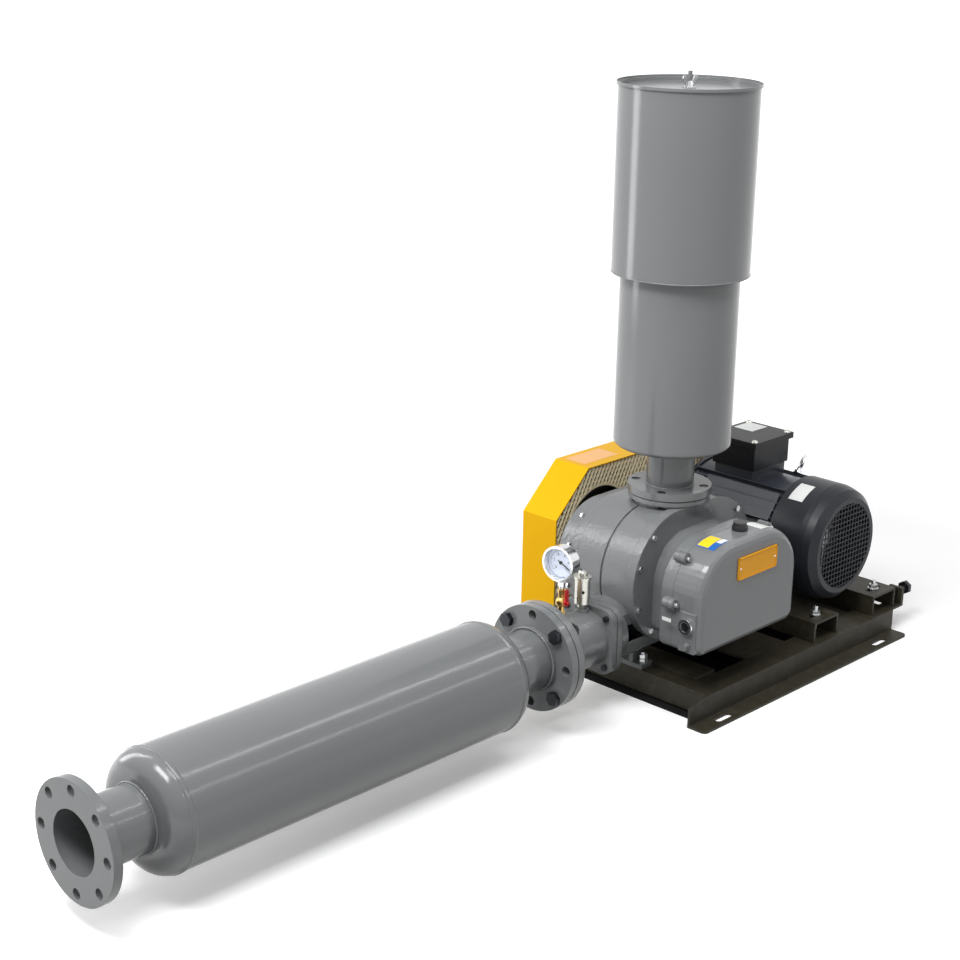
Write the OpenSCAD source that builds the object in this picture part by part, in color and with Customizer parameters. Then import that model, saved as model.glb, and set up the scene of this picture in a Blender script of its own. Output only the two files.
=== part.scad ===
/* [Base frame] */
// Overall length of the base along the discharge direction
base_len = 850; // [820:2:900]
// Width over the two upright webs of the base
base_web_w = 450; // [440:2:470]
// Height of the base from floor to its top flanges
base_h = 62; // [58:1:62]
// Width of each bottom flange, outside the web
base_foot_w = 46; // [44:1:60]
// Width of the front top flange, inside the web
base_top_w = 70; // [60:1:80]
// Width of the rear top flange, inside the web
rear_top_w = 100; // [96:1:110]
// Thickness of the bent base plate
base_t = 6; // [4:0.5:8]
// Distance of the floor slots from the ends of the base
slot_in = 98; // [80:1:120]
// Distance of the floor slots outside the webs
slot_out = 24; // [20:1:28]
// Length of a floor slot
slot_len = 58; // [30:1:70]
// Width of a floor slot
slot_w = 18; // [14:1:20]
// Thickness of the plate on the left cross beam
bed_t = 8; // [6:1:10]

/* [Blower] */
// Distance of the blower centre from the left end of the base
blower_in = 205; // [201:1:209]
// Place of the intake pipe across the base
blower_y = 27; // [25:1:30]
// Height of both rotor shafts above the floor
shaft_z = 296; // [294:1:298]
// Distance between the two rotor shafts
axis_gap = 160; // [158:1:162]
// Length of the rotor chamber
chamber_len = 164; // [160:1:164]
// Running clearance all round a rotor profile
lobe_gap = 0.3; // [0.25:0.05:0.5]
// Radius of the rotor shafts
shaft_r = 22; // [20:0.5:23]
// Half distance between the arc centres of the round casing outline
arc_c = 62; // [58:1:66]
// Arc radius of the casing side plates
plate_r = 162; // [161:1:168]
// Thickness of each casing side plate
plate_t = 25; // [22:1:26]
// Half width of the gear cover
cover_hw = 187; // [184:1:194]
// Depth of the gear cover
cover_depth = 82; // [76:1:90]
// Wall of the gear cover
cover_wall = 8; // [6:0.5:9]
// Teeth of each timing gear
gear_teeth = 32; // [32:2:40]
// Width of each timing gear
gear_w = 34; // [28:1:38]

/* [Pipework] */
// Height of the discharge axis above the floor
pipe_z = 177.5; // [175:0.5:180]
// Outer radius of the discharge pipe
pipe_r = 69.9; // [68:0.1:71]
// Wall of the discharge pipe
pipe_wall = 4.5; // [3:0.5:6]
// Outer radius of the discharge flanges
flange_r = 125; // [120:1:130]
// Thickness of the discharge flanges
flange_t = 20; // [16:1:24]
// Bolt circle diameter of the discharge flanges
flange_pcd = 210; // [206:1:214]
// Bolt hole diameter of the discharge flanges
flange_hole_d = 23; // [19:1:23]
// Length of the tee between its two flange faces
tee_len = 181; // [170:1:200]
// Radius of the discharge silencer body
silencer_r = 127; // [120:1:135]
// Length of the discharge silencer, face to face
silencer_len = 1243; // [1100:1:1300]
// Length of the bare neck at the open end of the discharge silencer
open_neck = 135; // [120:1:150]
// Length of the bare neck at the blower end
neck_len = 142; // [120:1:150]
// Sheet thickness of the silencers
sheet_t = 3; // [2:0.5:4]
// Gasket thickness
gasket_t = 3; // [2:0.5:4]

/* [Intake silencer] */
// Height of the top face of the intake flange
intake_z = 492.5; // [490:0.5:500]
// Radius of the intake flange
intake_flange_r = 100; // [98:1:105]
// Radius of the intake neck
intake_neck_r = 57.15; // [55:0.05:60]
// Radius of the lower silencer drum
drum_r = 139; // [130:1:142]
// Radius of the upper intake hood
hood_r = 160; // [158:1:170]
// Height where the lower drum begins
drum_z = 590; // [580:1:600]
// Height of the bottom edge of the hood
hood_z = 1001; // [990:1:1020]
// Height of the top rim of the hood
hood_top = 1434; // [1400:1:1450]

/* [Motor and drive] */
// Distance from the blower centre to the motor shaft along the base
motor_dx = 455; // [450:1:460]
// Height of the motor shaft above the floor
motor_z = 274; // [274:1:276]
// Radius of the motor frame over its fins
motor_r = 149; // [140:1:152]
// Radius of the blower pulley
blower_pulley_r = 125; // [115:1:130]
// Radius of the motor pulley
motor_pulley_r = 90; // [85:1:92]
// Number of V belts
belts = 3; // [2:1:3]
// Distance between neighbouring belts
belt_pitch = 19; // [19:0.5:21]
// Width of a belt
belt_w = 12; // [10:0.5:12.5]
// Travel of the motor either way for belt tension
tension_travel = 20; // [10:1:20]
// Width of each motor rail
rail_w = 103; // [100:1:106]
// Height of the motor rails
rail_h = 52; // [48:1:52]
// Depth of the belt guard
guard_depth = 110; // [100:1:115]
// Sheet thickness of the belt guard
guard_t = 2.5; // [2:0.5:3]

/* [Hidden] */
$fn = 64;
eps = 0.01;
air = 0.3;

grey = "#808488";
yellow = "#f5c400";
charcoal = "#2b2d33";
black = "#1e1d18";
steel = "#b8bcc0";
brass = "#c8a040";

blower_x = blower_in - base_len / 2;
slot_pitch_x = base_len - 2 * slot_in;
slot_pitch_y = base_web_w + 2 * slot_out;

front_y = -59;
rear_y = front_y + chamber_len;
plate_front_y = front_y - plate_t;
plate_rear_y = rear_y + plate_t;
casing_x = arc_c + plate_r + 5;
case_back_y = -137;
case_seam_y = -170;
cover_back_y = case_seam_y - air;
cover_front_y = cover_back_y - cover_depth;
casing_r = plate_r - 7;
pitch_r = axis_gap / 2;
tip_r = pitch_r * 4 / 3;
chamber_r = tip_r + 0.4;
shaft_x = axis_gap / 2;
bearing_r = 45;
bearing_w = 26;
gear_back_y = case_back_y - 12;
bearing_front_y = -118;
bearing_rear_y = plate_rear_y + 10;
rear_housing_y = plate_rear_y + 47;
rear_housing_r = 133;
cover_bottom = 164;
cover_top = 417;
cap_y = rear_housing_y + 16;

nozzle_x = -267;
tee_x = nozzle_x - gasket_t;
tee_end_x = tee_x - tee_len;
silencer_x = tee_end_x - gasket_t;
silencer_end_x = silencer_x - silencer_len;
square_hw = 80;
square_r = 30;
square_bolt = 60.7;
square_t = 17;
boss_x = tee_x - 35;
cock_x = tee_x - 108;

belt_w2 = belt_w / 2;
pulley_w = belts * belt_pitch + 9;
belt_y = 327;
pulley_y = belt_y - blower_y;
guard_back_y = belt_y + pulley_w / 2 + 22;
guard_front_y = guard_back_y - guard_depth;

rail_top = base_h + rail_h;
motor_x = blower_x + motor_dx;
rail_mid_x = motor_x + 29;
rail_dx = 130.5;
rail_half = base_web_w / 2 - 12;
front_bolt_y = base_web_w / 2 - 47;
rear_bolt_y = base_web_w / 2 - 80;
cowl_front_y = -185;
cowl_back_y = -57;
frame_back_y = 240;
bell_back_y = 268;
motor_shaft_r = 21;
motor_shaft_end = belt_y + pulley_w / 2 + 12;

module at_blower() translate([blower_x, blower_y, 0]) children();
module at_motor() translate([motor_x, 0, motor_z]) children();
module at_shaft(side) translate([side * shaft_x, 0, shaft_z]) children();

// solid drawn in the X-Z plane, from y0 to y1
module extrude_y(y0, y1) translate([0, y1, 0]) rotate([90, 0, 0]) linear_extrude(y1 - y0) children();
// solid drawn in the Y-Z plane, from x0 to x1
module extrude_x(x0, x1) translate([x0, 0, 0]) rotate([90, 0, 90]) linear_extrude(x1 - x0) children();
module rod_x(r, x0, x1) translate([x0, 0, 0]) rotate([0, 90, 0]) cylinder(r = r, h = x1 - x0);
module rod_y(r, y0, y1) translate([0, y0, 0]) rotate([-90, 0, 0]) cylinder(r = r, h = y1 - y0);
module slot2d(len, w)
{
    for (s = [-1, 1]) translate([s * (len - w) / 2, 0]) circle(d = w);
    square([len - w, w], center = true);
}
module stadium2d(c, r)
{
    for (s = [-1, 1]) translate([s * c, 0]) circle(r = r);
    square([2 * c, 2 * r], center = true);
}
// arched outline with a flat bottom: half width, bottom, top, top radius, bottom radius
module arch2d(hw, zb, zt, rt, rb)
{
    for (s = [-1, 1])
    {
        translate([s * (hw - rt), zt - rt]) circle(r = rt);
        translate([s * (hw - rb), zb + rb]) circle(r = rb);
    }
    translate([-(hw - rt), zb]) square([2 * (hw - rt), zt - zb]);
    translate([-hw, zb + rb]) square([2 * hw, zt - rt - zb - rb]);
    translate([-(hw - rb), zb]) square([2 * (hw - rb), rb * 2]);
}
module round_square2d(hw, r)
{
    for (x = [-1, 1]) for (y = [-1, 1]) translate([x * (hw - r), y * (hw - r)]) circle(r = r);
    square([2 * hw, 2 * (hw - r)], center = true);
    square([2 * (hw - r), 2 * hw], center = true);
}
module nut(d) difference()
{
    cylinder(d = d * 1.9, h = d * 0.8, $fn = 6);
    translate([0, 0, -1]) cylinder(d = d, h = d + 2, $fn = 24);
}

// Base
left_web_x = -base_len / 2 + 67;
web_end_z = base_h - 12;
bend_r = 12;
// bolt_y: distance of the two rail clamp bolts from the middle of the base
module base_beam(bolt_y, top_w)
{
    web_y = -base_web_w / 2;
    difference()
    {
        union()
        {
            linear_extrude(base_t)
            {
                translate([-base_len / 2, web_y - base_foot_w + bend_r])
                    square([base_len, base_foot_w - bend_r + base_t]);
                translate([-base_len / 2 + bend_r, web_y - base_foot_w])
                    square([base_len - 2 * bend_r, base_foot_w]);
                for (s = [-1, 1]) translate([s * (base_len / 2 - bend_r), web_y - base_foot_w + bend_r])
                    circle(r = bend_r);
            }
            extrude_y(web_y, web_y + base_t) polygon([[-base_len / 2, 0], [base_len / 2, 0],
                [base_len / 2, base_h],
                [left_web_x, base_h], [-base_len / 2, web_end_z]]);
            translate([left_web_x, web_y, base_h - base_t]) cube([base_len / 2 - left_web_x, top_w, base_t]);
        }
        for (s = [-1, 1]) translate([s * slot_pitch_x / 2, -slot_pitch_y / 2, -1])
            linear_extrude(base_t + 2) slot2d(slot_len, slot_w);
        for (s = [-1, 1]) translate([rail_mid_x + s * rail_dx, -bolt_y, base_h - base_t - 1])
            cylinder(d = 14, h = base_t + 2);
    }
}
module base_front_beam() color(black) base_beam(front_bolt_y, base_top_w);
module base_rear_beam() color(black) mirror([0, 1, 0]) base_beam(rear_bolt_y, rear_top_w);
module rail_bolt_places() for (s = [-1, 1]) for (y = [-front_bolt_y, rear_bolt_y])
    translate([rail_mid_x + s * rail_dx, y, 0]) children();

cross_y = base_web_w / 2 - base_t - air;
deck_y = base_web_w / 2 - base_top_w - air;
deck_y1 = base_web_w / 2 - rear_top_w - air;
left_deck_x1 = blower_x - 20;
mid_deck_x0 = blower_x + 99;
mid_deck_x1 = blower_x + 260;
right_deck_x0 = rail_mid_x - 34;
right_deck_x1 = rail_mid_x + 57;
// cross beam bent from plate: a web down to the floor beams and a top plate between their flanges
module cross_beam(web_x, x0, x1)
{
    translate([web_x, -cross_y, base_t]) cube([base_t, 2 * cross_y, base_h - 2 * base_t - air]);
    translate([x0, -deck_y, base_h - base_t]) cube([x1 - x0, deck_y + deck_y1, base_t]);
    translate([web_x, -deck_y, base_h - 3 * base_t]) cube([base_t, deck_y + deck_y1, 3 * base_t]);
}
tension_z = 92;
tension_y = -base_web_w / 2 + 25;
stop_x = rail_mid_x + rail_dx + rail_w / 2 + tension_travel + 3;
module base_cross_members() color(black) difference()
{
    union()
    {
        cross_beam(left_web_x, left_web_x, left_deck_x1);
        cross_beam(mid_deck_x1 - base_t, mid_deck_x0, mid_deck_x1);
        cross_beam(right_deck_x1 - base_t, right_deck_x0, right_deck_x1);
        translate([base_len / 2 - base_t, -cross_y, base_t])
            cube([base_t, 2 * cross_y, base_h - 2 * base_t - air]);
        translate([base_len / 2 + air, tension_y - 20, base_h - 20]) cube([8, 40, 20]);
        translate([base_len / 2 + air, tension_y - 20, base_h - 6]) cube([stop_x + 10 - base_len / 2, 40, 6]);
        translate([stop_x, tension_y - 20, base_h - 6]) cube([10, 40, 50]);
    }
    translate([0, tension_y, tension_z]) rod_x(8.3, stop_x - 1, stop_x + 11);
    at_blower() foot_places() translate([0, 0, base_h - base_t - 1]) cylinder(d = 14, h = base_t + 2);
}
module blower_bed() color(black) translate([blower_x - 95, -deck_y + 3, base_h + eps])
    cube([75, 2 * deck_y - 6, bed_t]);

foot_bolt_x = 118;
foot_t = 12;
foot_y0 = -50;
foot_y1 = 102;
module foot_places() for (x = [-foot_bolt_x, foot_bolt_x]) for (y = [foot_y0 + 12, foot_y1 - 12])
    translate([x, y, 0]) children();

module blower_foot_bolts() color(steel) at_blower() foot_places()
{
    translate([0, 0, base_h - base_t - 14]) cylinder(d = 12, h = 14 + base_t + foot_t + 26);
    translate([0, 0, base_h + foot_t + eps]) nut(12);
    translate([0, 0, base_h + foot_t + 12]) nut(12);
}

// Rotor casing
module casing_outline(r) translate([0, shaft_z]) stadium2d(arc_c, r);
nozzle_bore_r = 62.5;
module rotor_casing() color(grey) at_blower() difference()
{
    union()
    {
        extrude_y(front_y, 18) casing_outline(casing_r);
        extrude_y(17, 27) casing_outline(casing_r - 7);
        extrude_y(26, rear_y) casing_outline(casing_r - 3);
        intersection()
        {
            translate([0, 0, shaft_z + 40]) cylinder(r = 84, h = intake_z - 22 - shaft_z - 40);
            translate([-90, front_y, 0]) cube([180, chamber_len, intake_z]);
        }
        translate([0, 0, shaft_z + plate_r + 2])
            cylinder(r = intake_flange_r - 2, h = intake_z - gasket_t - 20 - shaft_z - plate_r);
        translate([0, 0, pipe_z]) rod_x(78, nozzle_x + square_t - 1, -casing_x + 4);
        intersection()
        {
            translate([0, 0, pipe_z]) rod_x(78, -casing_x, -60);
            translate([-casing_x - 1, front_y, 0]) cube([casing_x, chamber_len, shaft_z]);
        }
        extrude_x(nozzle_x, nozzle_x + square_t) translate([0, pipe_z]) round_square2d(square_hw, square_r);
        for (s = [-1, 1])
        {
            translate([s > 0 ? 97 : -138, foot_y0, base_h]) cube([41, foot_y1 - foot_y0, foot_t]);
            for (y = [foot_y0 + 28, foot_y1 - 40]) translate([s > 0 ? 97 : -137, y, base_h + 1])
                cube([40, 12, 120]);
        }
    }
    extrude_y(front_y - 1, rear_y + 1) translate([0, shaft_z]) for (s = [-1, 1]) translate([s * shaft_x, 0])
        circle(r = chamber_r);
    translate([0, 0, shaft_z + 30]) cylinder(r = intake_neck_r - 4, h = 200);
    translate([0, 0, pipe_z]) rod_x(nozzle_bore_r, nozzle_x - 1, -60);
    foot_places() translate([0, 0, base_h - 1]) cylinder(d = 14, h = foot_t + 2);
    square_bolt_places() rod_x(6, nozzle_x - 1, nozzle_x + square_t + 1);
    intake_bolt_places() translate([0, 0, intake_z - 46]) cylinder(d = 14, h = 30);
}
module square_bolt_places() for (y = [-1, 1]) for (z = [-1, 1])
    translate([0, y * square_bolt, pipe_z + z * square_bolt]) children();
module intake_bolt_places() for (a = [26 : 90 : 359]) rotate([0, 0, a]) translate([82.5, 0, 0]) children();

module shaft_bores(r, y0, y1) for (s = [-1, 1]) translate([s * shaft_x, 0, shaft_z]) rod_y(r, y0, y1);

module front_side_plate() color(grey) at_blower() difference()
{
    union()
    {
        extrude_y(plate_front_y, front_y - air) casing_outline(plate_r);
        extrude_y(case_back_y + air, plate_front_y + 1)
            arch2d(150, cover_bottom + 8, cover_top - 12, 110, 30);
    }
    shaft_bores(shaft_r + 1, case_back_y - 1, front_y + 1);
    shaft_bores(bearing_r + 0.02, bearing_front_y - bearing_w / 2, plate_front_y + 8);
}
module rear_side_plate() color(grey) at_blower() difference()
{
    union()
    {
        extrude_y(rear_y + air, plate_rear_y) casing_outline(plate_r - 12);
        extrude_y(plate_rear_y - 1, rear_housing_y) casing_outline(rear_housing_r);
    }
    shaft_bores(shaft_r + 1, rear_y - 1, rear_housing_y + 1);
    shaft_bores(bearing_r + 0.02, bearing_rear_y, rear_housing_y + 1);
}
module drive_end_cover() color(grey) at_blower() difference()
{
    extrude_y(rear_housing_y + air, cap_y) translate([0, shaft_z]) stadium2d(shaft_x, 60);
    shaft_bores(shaft_r + 9, rear_housing_y - 1, cap_y - 8);
    translate([shaft_x, 0, shaft_z]) rod_y(shaft_r + 1, rear_housing_y, cap_y + 1);
}
lug_r = 13;
lug_out = 7;
arc_top_r = 120;
arc_bottom_r = 30;
lug_x = (cover_hw - arc_top_r) + (arc_top_r + lug_out) * cos(45);
lug_z = cover_top - arc_top_r + (arc_top_r + lug_out) * sin(45);
lug_low_z = shaft_z - 12;
lug_places = [[-lug_x, lug_z], [lug_x, lug_z], [-cover_hw - lug_out, lug_low_z],
    [cover_hw + lug_out, lug_low_z]];
module lug(p, y0, y1) translate([p[0], 0, p[1]]) rod_y(lug_r, y0, y1);
module cover_outline(inset) arch2d(cover_hw - inset, cover_bottom + inset, cover_top - inset,
    arc_top_r - inset, arc_bottom_r - inset);
module gear_case() color(grey) at_blower() difference()
{
    union()
    {
        extrude_y(case_seam_y, case_back_y) cover_outline(0);
        for (p = lug_places) lug(p, case_seam_y, case_seam_y + 16);
    }
    extrude_y(case_seam_y - 1, case_back_y - 8) cover_outline(cover_wall + 2);
    shaft_bores(shaft_r + 8, case_back_y - 20, case_back_y + 1);
}
module gear_cover() color(grey) at_blower() difference()
{
    union()
    {
        hull()
        {
            extrude_y(cover_front_y + 22, cover_back_y) cover_outline(0, $fn = 48);
            extrude_y(cover_front_y + 11, cover_front_y + 22) cover_outline(2.5, $fn = 48);
            extrude_y(cover_front_y + 4, cover_front_y + 5) cover_outline(8, $fn = 48);
            extrude_y(cover_front_y, cover_front_y + 1) cover_outline(17, $fn = 48);
        }
        for (p = lug_places) lug(p, cover_back_y - 14, cover_back_y);
        translate([-cover_hw - sight_pad, -242, cover_bottom + 12]) cube([20, 46, 96]);
    }
    extrude_y(cover_front_y + cover_wall, cover_back_y + 1) cover_outline(cover_wall + 9);
    translate([oil_cap_x, oil_cap_y, cover_top - 60]) cylinder(r = 13, h = 100);
    sight_place() rod_x(12, -30, 30);
}
oil_cap_x = 22;
oil_cap_y = -196;
sight_pad = 4;
module sight_place() translate([-cover_hw - sight_pad, -219, cover_bottom + 76]) children();
module sight_glass_ring() color(steel) at_blower() sight_place() difference()
{
    rod_x(19, -9, -0.5);
    rod_x(11.5, -10, 1);
}
module sight_glass_lens() color("#303438") at_blower() sight_place() rod_x(11, -6, -2);
module drain_plug() color(grey) at_blower() translate([-cover_hw - sight_pad, -221, cover_bottom + 28])
{
    rod_x(11, -2, -0.5);
    translate([-10, 0, 0]) rotate([0, 90, 0]) cylinder(r = 9, h = 8.2, $fn = 6);
}
module oil_filler_cap() color(black) at_blower() translate([oil_cap_x, oil_cap_y, cover_top])
{
    translate([0, 0, -20]) cylinder(r = 12, h = 21);
    translate([0, 0, 1]) cylinder(r = 19, h = 10, $fn = 12);
    translate([0, 0, 11]) cylinder(r = 16, h = 9);
}
module name_plate() color("#f9a010") at_blower() extrude_y(cover_front_y - 3.2, cover_front_y - 0.2)
    translate([20, 352]) square([148, 54], center = true);

// Fasteners of the casing
rim_angles = [20, 50, 130, 160, 200, 230, 310, 340];
module rim_place(a) translate([(a > 90 && a < 270 ? -1 : 1) * arc_c + (plate_r - 12) * cos(a), 0,
    shaft_z + (plate_r - 12) * sin(a)]) children();
module casing_bolts() color(steel) at_blower()
{
    for (a = rim_angles) rim_place(a) translate([0, plate_front_y - 6.6, 0]) rotate([-90, 0, 0])
        cylinder(d = 15, h = 6.3, $fn = 6);
    for (a = rim_angles) rim_place(a) translate([0, plate_rear_y + 0.3, 0]) rotate([-90, 0, 0])
        cylinder(d = 15, h = 6.3, $fn = 6);
    for (p = lug_places) translate([p[0], cover_back_y - 22.3, p[1]]) rod_y(6, 0, 8);
}

// Bearings and seals
module ring_y(ro, ri, y0, y1) difference()
{
    rod_y(ro, y0, y1);
    rod_y(ri, y0 - 1, y1 + 1);
}
module bearing(y0)
{
    ring_y(bearing_r, bearing_r - 8, y0, y0 + bearing_w - 1);
    ring_y(shaft_r + 7, shaft_r + 0.05, y0, y0 + bearing_w - 1);
    for (a = [0 : 36 : 359]) translate([33 * cos(a), y0 + (bearing_w - 1) / 2, 33 * sin(a)])
        sphere(r = 3.9, $fn = 16);
}
module rotor_bearings() color(steel) at_blower() for (s = [-1, 1]) at_shaft(s)
{
    bearing(bearing_front_y - bearing_w / 2 + 0.5);
    bearing(bearing_rear_y + 0.5);
}
module shaft_seals() color("#202020") at_blower() for (s = [-1, 1]) at_shaft(s)
{
    for (y = [bearing_front_y + bearing_w / 2 + 1, bearing_rear_y + bearing_w + 2])
        ring_y(bearing_r - 1, shaft_r + 0.4, y, y + 8);
}

// Rotors: epicycloid lobes and hypocycloid valleys rolled on the pitch circle
lobes = 3;
roll_r = pitch_r / (2 * lobes);
steps = 8;
function rolled(t, out) = out > 0
    ? [(pitch_r + roll_r) * cos(t) - roll_r * cos((pitch_r + roll_r) / roll_r * t),
       (pitch_r + roll_r) * sin(t) - roll_r * sin((pitch_r + roll_r) / roll_r * t)]
    : [(pitch_r - roll_r) * cos(t) + roll_r * cos((pitch_r - roll_r) / roll_r * t),
       (pitch_r - roll_r) * sin(t) - roll_r * sin((pitch_r - roll_r) / roll_r * t)];
function eased(t, out) = let (p = rolled(t, out), c = pitch_r * [cos(t), sin(t)], n = (p - c) / norm(p - c))
    p - out * lobe_gap * n;
function turned(p, a) = [p.x * cos(a) - p.y * sin(a), p.x * sin(a) + p.y * cos(a)];
arc_deg = 180 / lobes;
lobe_points = [for (k = [0 : 2 * lobes - 1]) for (i = [0 : steps - 1])
    turned(eased((i + 0.5) * arc_deg / steps, k % 2 == 0 ? 1 : -1), k * arc_deg - arc_deg / 2)];
module lobe_body() extrude_y(front_y + 0.5, rear_y - 0.5) polygon(lobe_points);
module drive_rotor() color(steel) at_blower() at_shaft(1)
{
    lobe_body();
    rod_y(shaft_r, gear_back_y - gear_w - 14, pulley_y + pulley_w / 2 + 4);
}
module idle_rotor() color(steel) at_blower() at_shaft(-1)
{
    lobe_body();
    rod_y(shaft_r, gear_back_y - gear_w - 14, cap_y - 12);
}

// Timing gears with involute teeth
module_size = 2 * pitch_r / gear_teeth;
gear_base_r = pitch_r * cos(20);
gear_out_r = pitch_r + module_size * 0.9;
gear_root_r = pitch_r - module_size * 1.2;
roll_max = sqrt(pow(gear_out_r / gear_base_r, 2) - 1);
involute_pitch = (tan(20) - 20 * PI / 180) * 180 / PI;
tooth_half = 90 / gear_teeth - 0.16 + involute_pitch;
function flank(u) = [gear_base_r * sqrt(1 + u * u), tooth_half - (u * 180 / PI - atan(u))];
function polar(r, a) = [r * cos(a), r * sin(a)];
function tooth(a) = concat([polar(gear_root_r, a - tooth_half - 0.6)],
    [for (i = [0 : 3]) let (f = flank(roll_max * i / 3)) polar(f[0], a - f[1])],
    [for (i = [3 : -1 : 0]) let (f = flank(roll_max * i / 3)) polar(f[0], a + f[1])],
    [polar(gear_root_r, a + tooth_half + 0.6)]);
gear_points = [for (k = [0 : gear_teeth - 1]) each tooth(k * 360 / gear_teeth)];
module timing_gear(turn) difference()
{
    extrude_y(gear_back_y - gear_w, gear_back_y) rotate(turn) polygon(gear_points);
    rod_y(shaft_r + 0.02, gear_back_y - gear_w - 1, gear_back_y + 1);
    for (a = [0 : 60 : 359]) rotate([0, a, 0]) translate([50, 0, 0])
        rod_y(10, gear_back_y - gear_w - 1, gear_back_y + 1);
}
module drive_gear() color(steel) at_blower() at_shaft(1) timing_gear(180 / gear_teeth);
module idle_gear() color(steel) at_blower() at_shaft(-1) timing_gear(0);

// Intake silencer
module intake_silencer() color(grey) at_blower() difference()
{
    union()
    {
        rotate_extrude()
        {
            translate([0, intake_z - 18]) square([intake_flange_r, 18]);
            translate([0, intake_z - 1]) square([intake_neck_r, drum_z - intake_z + 2]);
            translate([0, drum_z + 10]) square([drum_r, hood_z + 96 - drum_z - 10]);
            translate([0, drum_z]) square([drum_r - 10, 12]);
            translate([drum_r - 10, drum_z + 10]) circle(r = 10);
        }
        for (a = [0 : 120 : 359]) rotate([0, 0, a]) translate([30, -8, hood_z + 96]) cube([100, 16, 3]);
        translate([0, 0, hood_z + 96]) cylinder(r = 34, h = 3);
        translate([0, 0, hood_z + 96]) cylinder(r = 5, h = hood_top + 22 - hood_z - 96);
    }
    rotate_extrude()
    {
        translate([0, intake_z - 20]) square([intake_neck_r - 4, drum_z - intake_z + 22]);
        translate([0, drum_z + sheet_t]) square([drum_r - sheet_t - 8, 20]);
        translate([0, drum_z + 12]) square([drum_r - sheet_t, hood_z + 83 - drum_z]);
    }
    for (a = [60 : 120 : 359]) rotate([0, 0, a]) translate([46, 0, hood_z + 90]) linear_extrude(20)
        for (r = [0 : 1]) translate([r * 42, 0]) circle(r = 17);
    intake_bolt_places()
    {
        translate([0, 0, intake_z - 19]) cylinder(d = 14.4, h = 20);
        translate([0, 0, intake_z - 11]) cylinder(d = 22, h = 12);
    }
}
module intake_hood() color(grey) at_blower()
{
    rotate_extrude()
    {
        translate([hood_r - 2, hood_z]) square([2, hood_top - hood_z - 7]);
        translate([hood_r - 5, hood_top - 9]) square([9, 2]);
        translate([hood_r + 2, hood_top - 9]) square([2, 7]);
        translate([hood_r - 12, hood_top - 20]) square([11, 2]);
        translate([drum_r + 4.5, hood_z + 110]) square([hood_r - drum_r - 5.5, 2]);
    }
}
module filter_element() color("#c8b890") at_blower() rotate_extrude()
{
    translate([85, hood_z + 99.3]) square([30, hood_top - 40 - hood_z - 99.3]);
    translate([20, hood_top - 41]) square([95, 4]);
}
module intake_lid() color(grey) at_blower() difference()
{
    union()
    {
        translate([0, 0, hood_top - 17.7]) cylinder(r = hood_r - 5.5, h = 2.5);
        rotate_extrude() translate([hood_r - 8.5, hood_top - 17.7]) square([3, 9]);
    }
    translate([0, 0, hood_top - 20]) cylinder(r = 5.6, h = 10);
}
module wing_nut() color(steel) at_blower() translate([0, 0, hood_top - 14.9])
{
    difference()
    {
        union()
        {
            cylinder(r = 15, h = 2);
            translate([0, 0, 2]) cylinder(r1 = 10, r2 = 8, h = 13);
            for (s = [-1, 1]) hull()
            {
                translate([s * 9, 0, 6]) rotate([90, 0, 0]) cylinder(r = 4, h = 3, center = true, $fn = 16);
                translate([s * 20, 0, 22]) rotate([90, 0, 0]) cylinder(r = 6, h = 3, center = true, $fn = 24);
            }
        }
        translate([0, 0, -1]) cylinder(r = 5.3, h = 40);
    }
}

// Discharge tee and silencer
module flange_holes(x0, x1) for (a = [0 : 45 : 359]) translate([0, 0, pipe_z]) rotate([a, 0, 0])
    translate([0, 0, flange_pcd / 2]) rod_x(flange_hole_d / 2, x0 - 1, x1 + 1);
module discharge_tee() color(grey) at_blower() difference()
{
    union()
    {
        translate([0, 0, pipe_z])
        {
            rod_x(flange_r, tee_end_x, tee_end_x + flange_t);
            rod_x(pipe_r, tee_end_x, tee_x);
            rod_x(pipe_r + 6, tee_end_x, tee_end_x + flange_t + 8);
        }
        extrude_x(tee_x - square_t, tee_x) translate([0, pipe_z]) round_square2d(square_hw, square_r);
        translate([boss_x, 0, pipe_z]) cylinder(r = 17, h = pipe_r + 6);
        translate([cock_x, 0, pipe_z]) cylinder(r = 13, h = pipe_r + 8);
    }
    translate([0, 0, pipe_z]) rod_x(pipe_r - pipe_wall, tee_end_x - 1, tee_x + 1);
    flange_holes(tee_end_x, tee_end_x + flange_t);
    translate([boss_x, 0, pipe_z]) cylinder(r = 8, h = 120);
    translate([cock_x, 0, pipe_z]) cylinder(r = 5, h = 120);
    square_bolt_places() rod_x(7, tee_x - square_t - 1, tee_x + 1);
}
module gaskets() color("#303030") at_blower()
{
    translate([0, 0, pipe_z]) difference()
    {
        rod_x(flange_pcd / 2 - flange_hole_d / 2 - 2, tee_end_x - gasket_t + 0.1, tee_end_x - 0.1);
        rod_x(pipe_r - pipe_wall, tee_end_x - 10, tee_end_x + 1);
    }
    extrude_x(tee_x + 0.1, nozzle_x - 0.1) translate([0, pipe_z]) difference()
    {
        round_square2d(square_hw - 2, square_r);
        circle(r = pipe_r - pipe_wall);
        for (y = [-1, 1]) for (z = [-1, 1]) translate([y * square_bolt, z * square_bolt]) circle(r = 7);
    }
    translate([0, 0, intake_z - 21 + 0.1]) difference()
    {
        cylinder(r = intake_flange_r - 3, h = 2.8);
        translate([0, 0, -1]) cylinder(r = intake_neck_r - 4, h = 5);
        intake_bolt_places() translate([0, 0, -1]) cylinder(d = 14.4, h = 5);
    }
}
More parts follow.
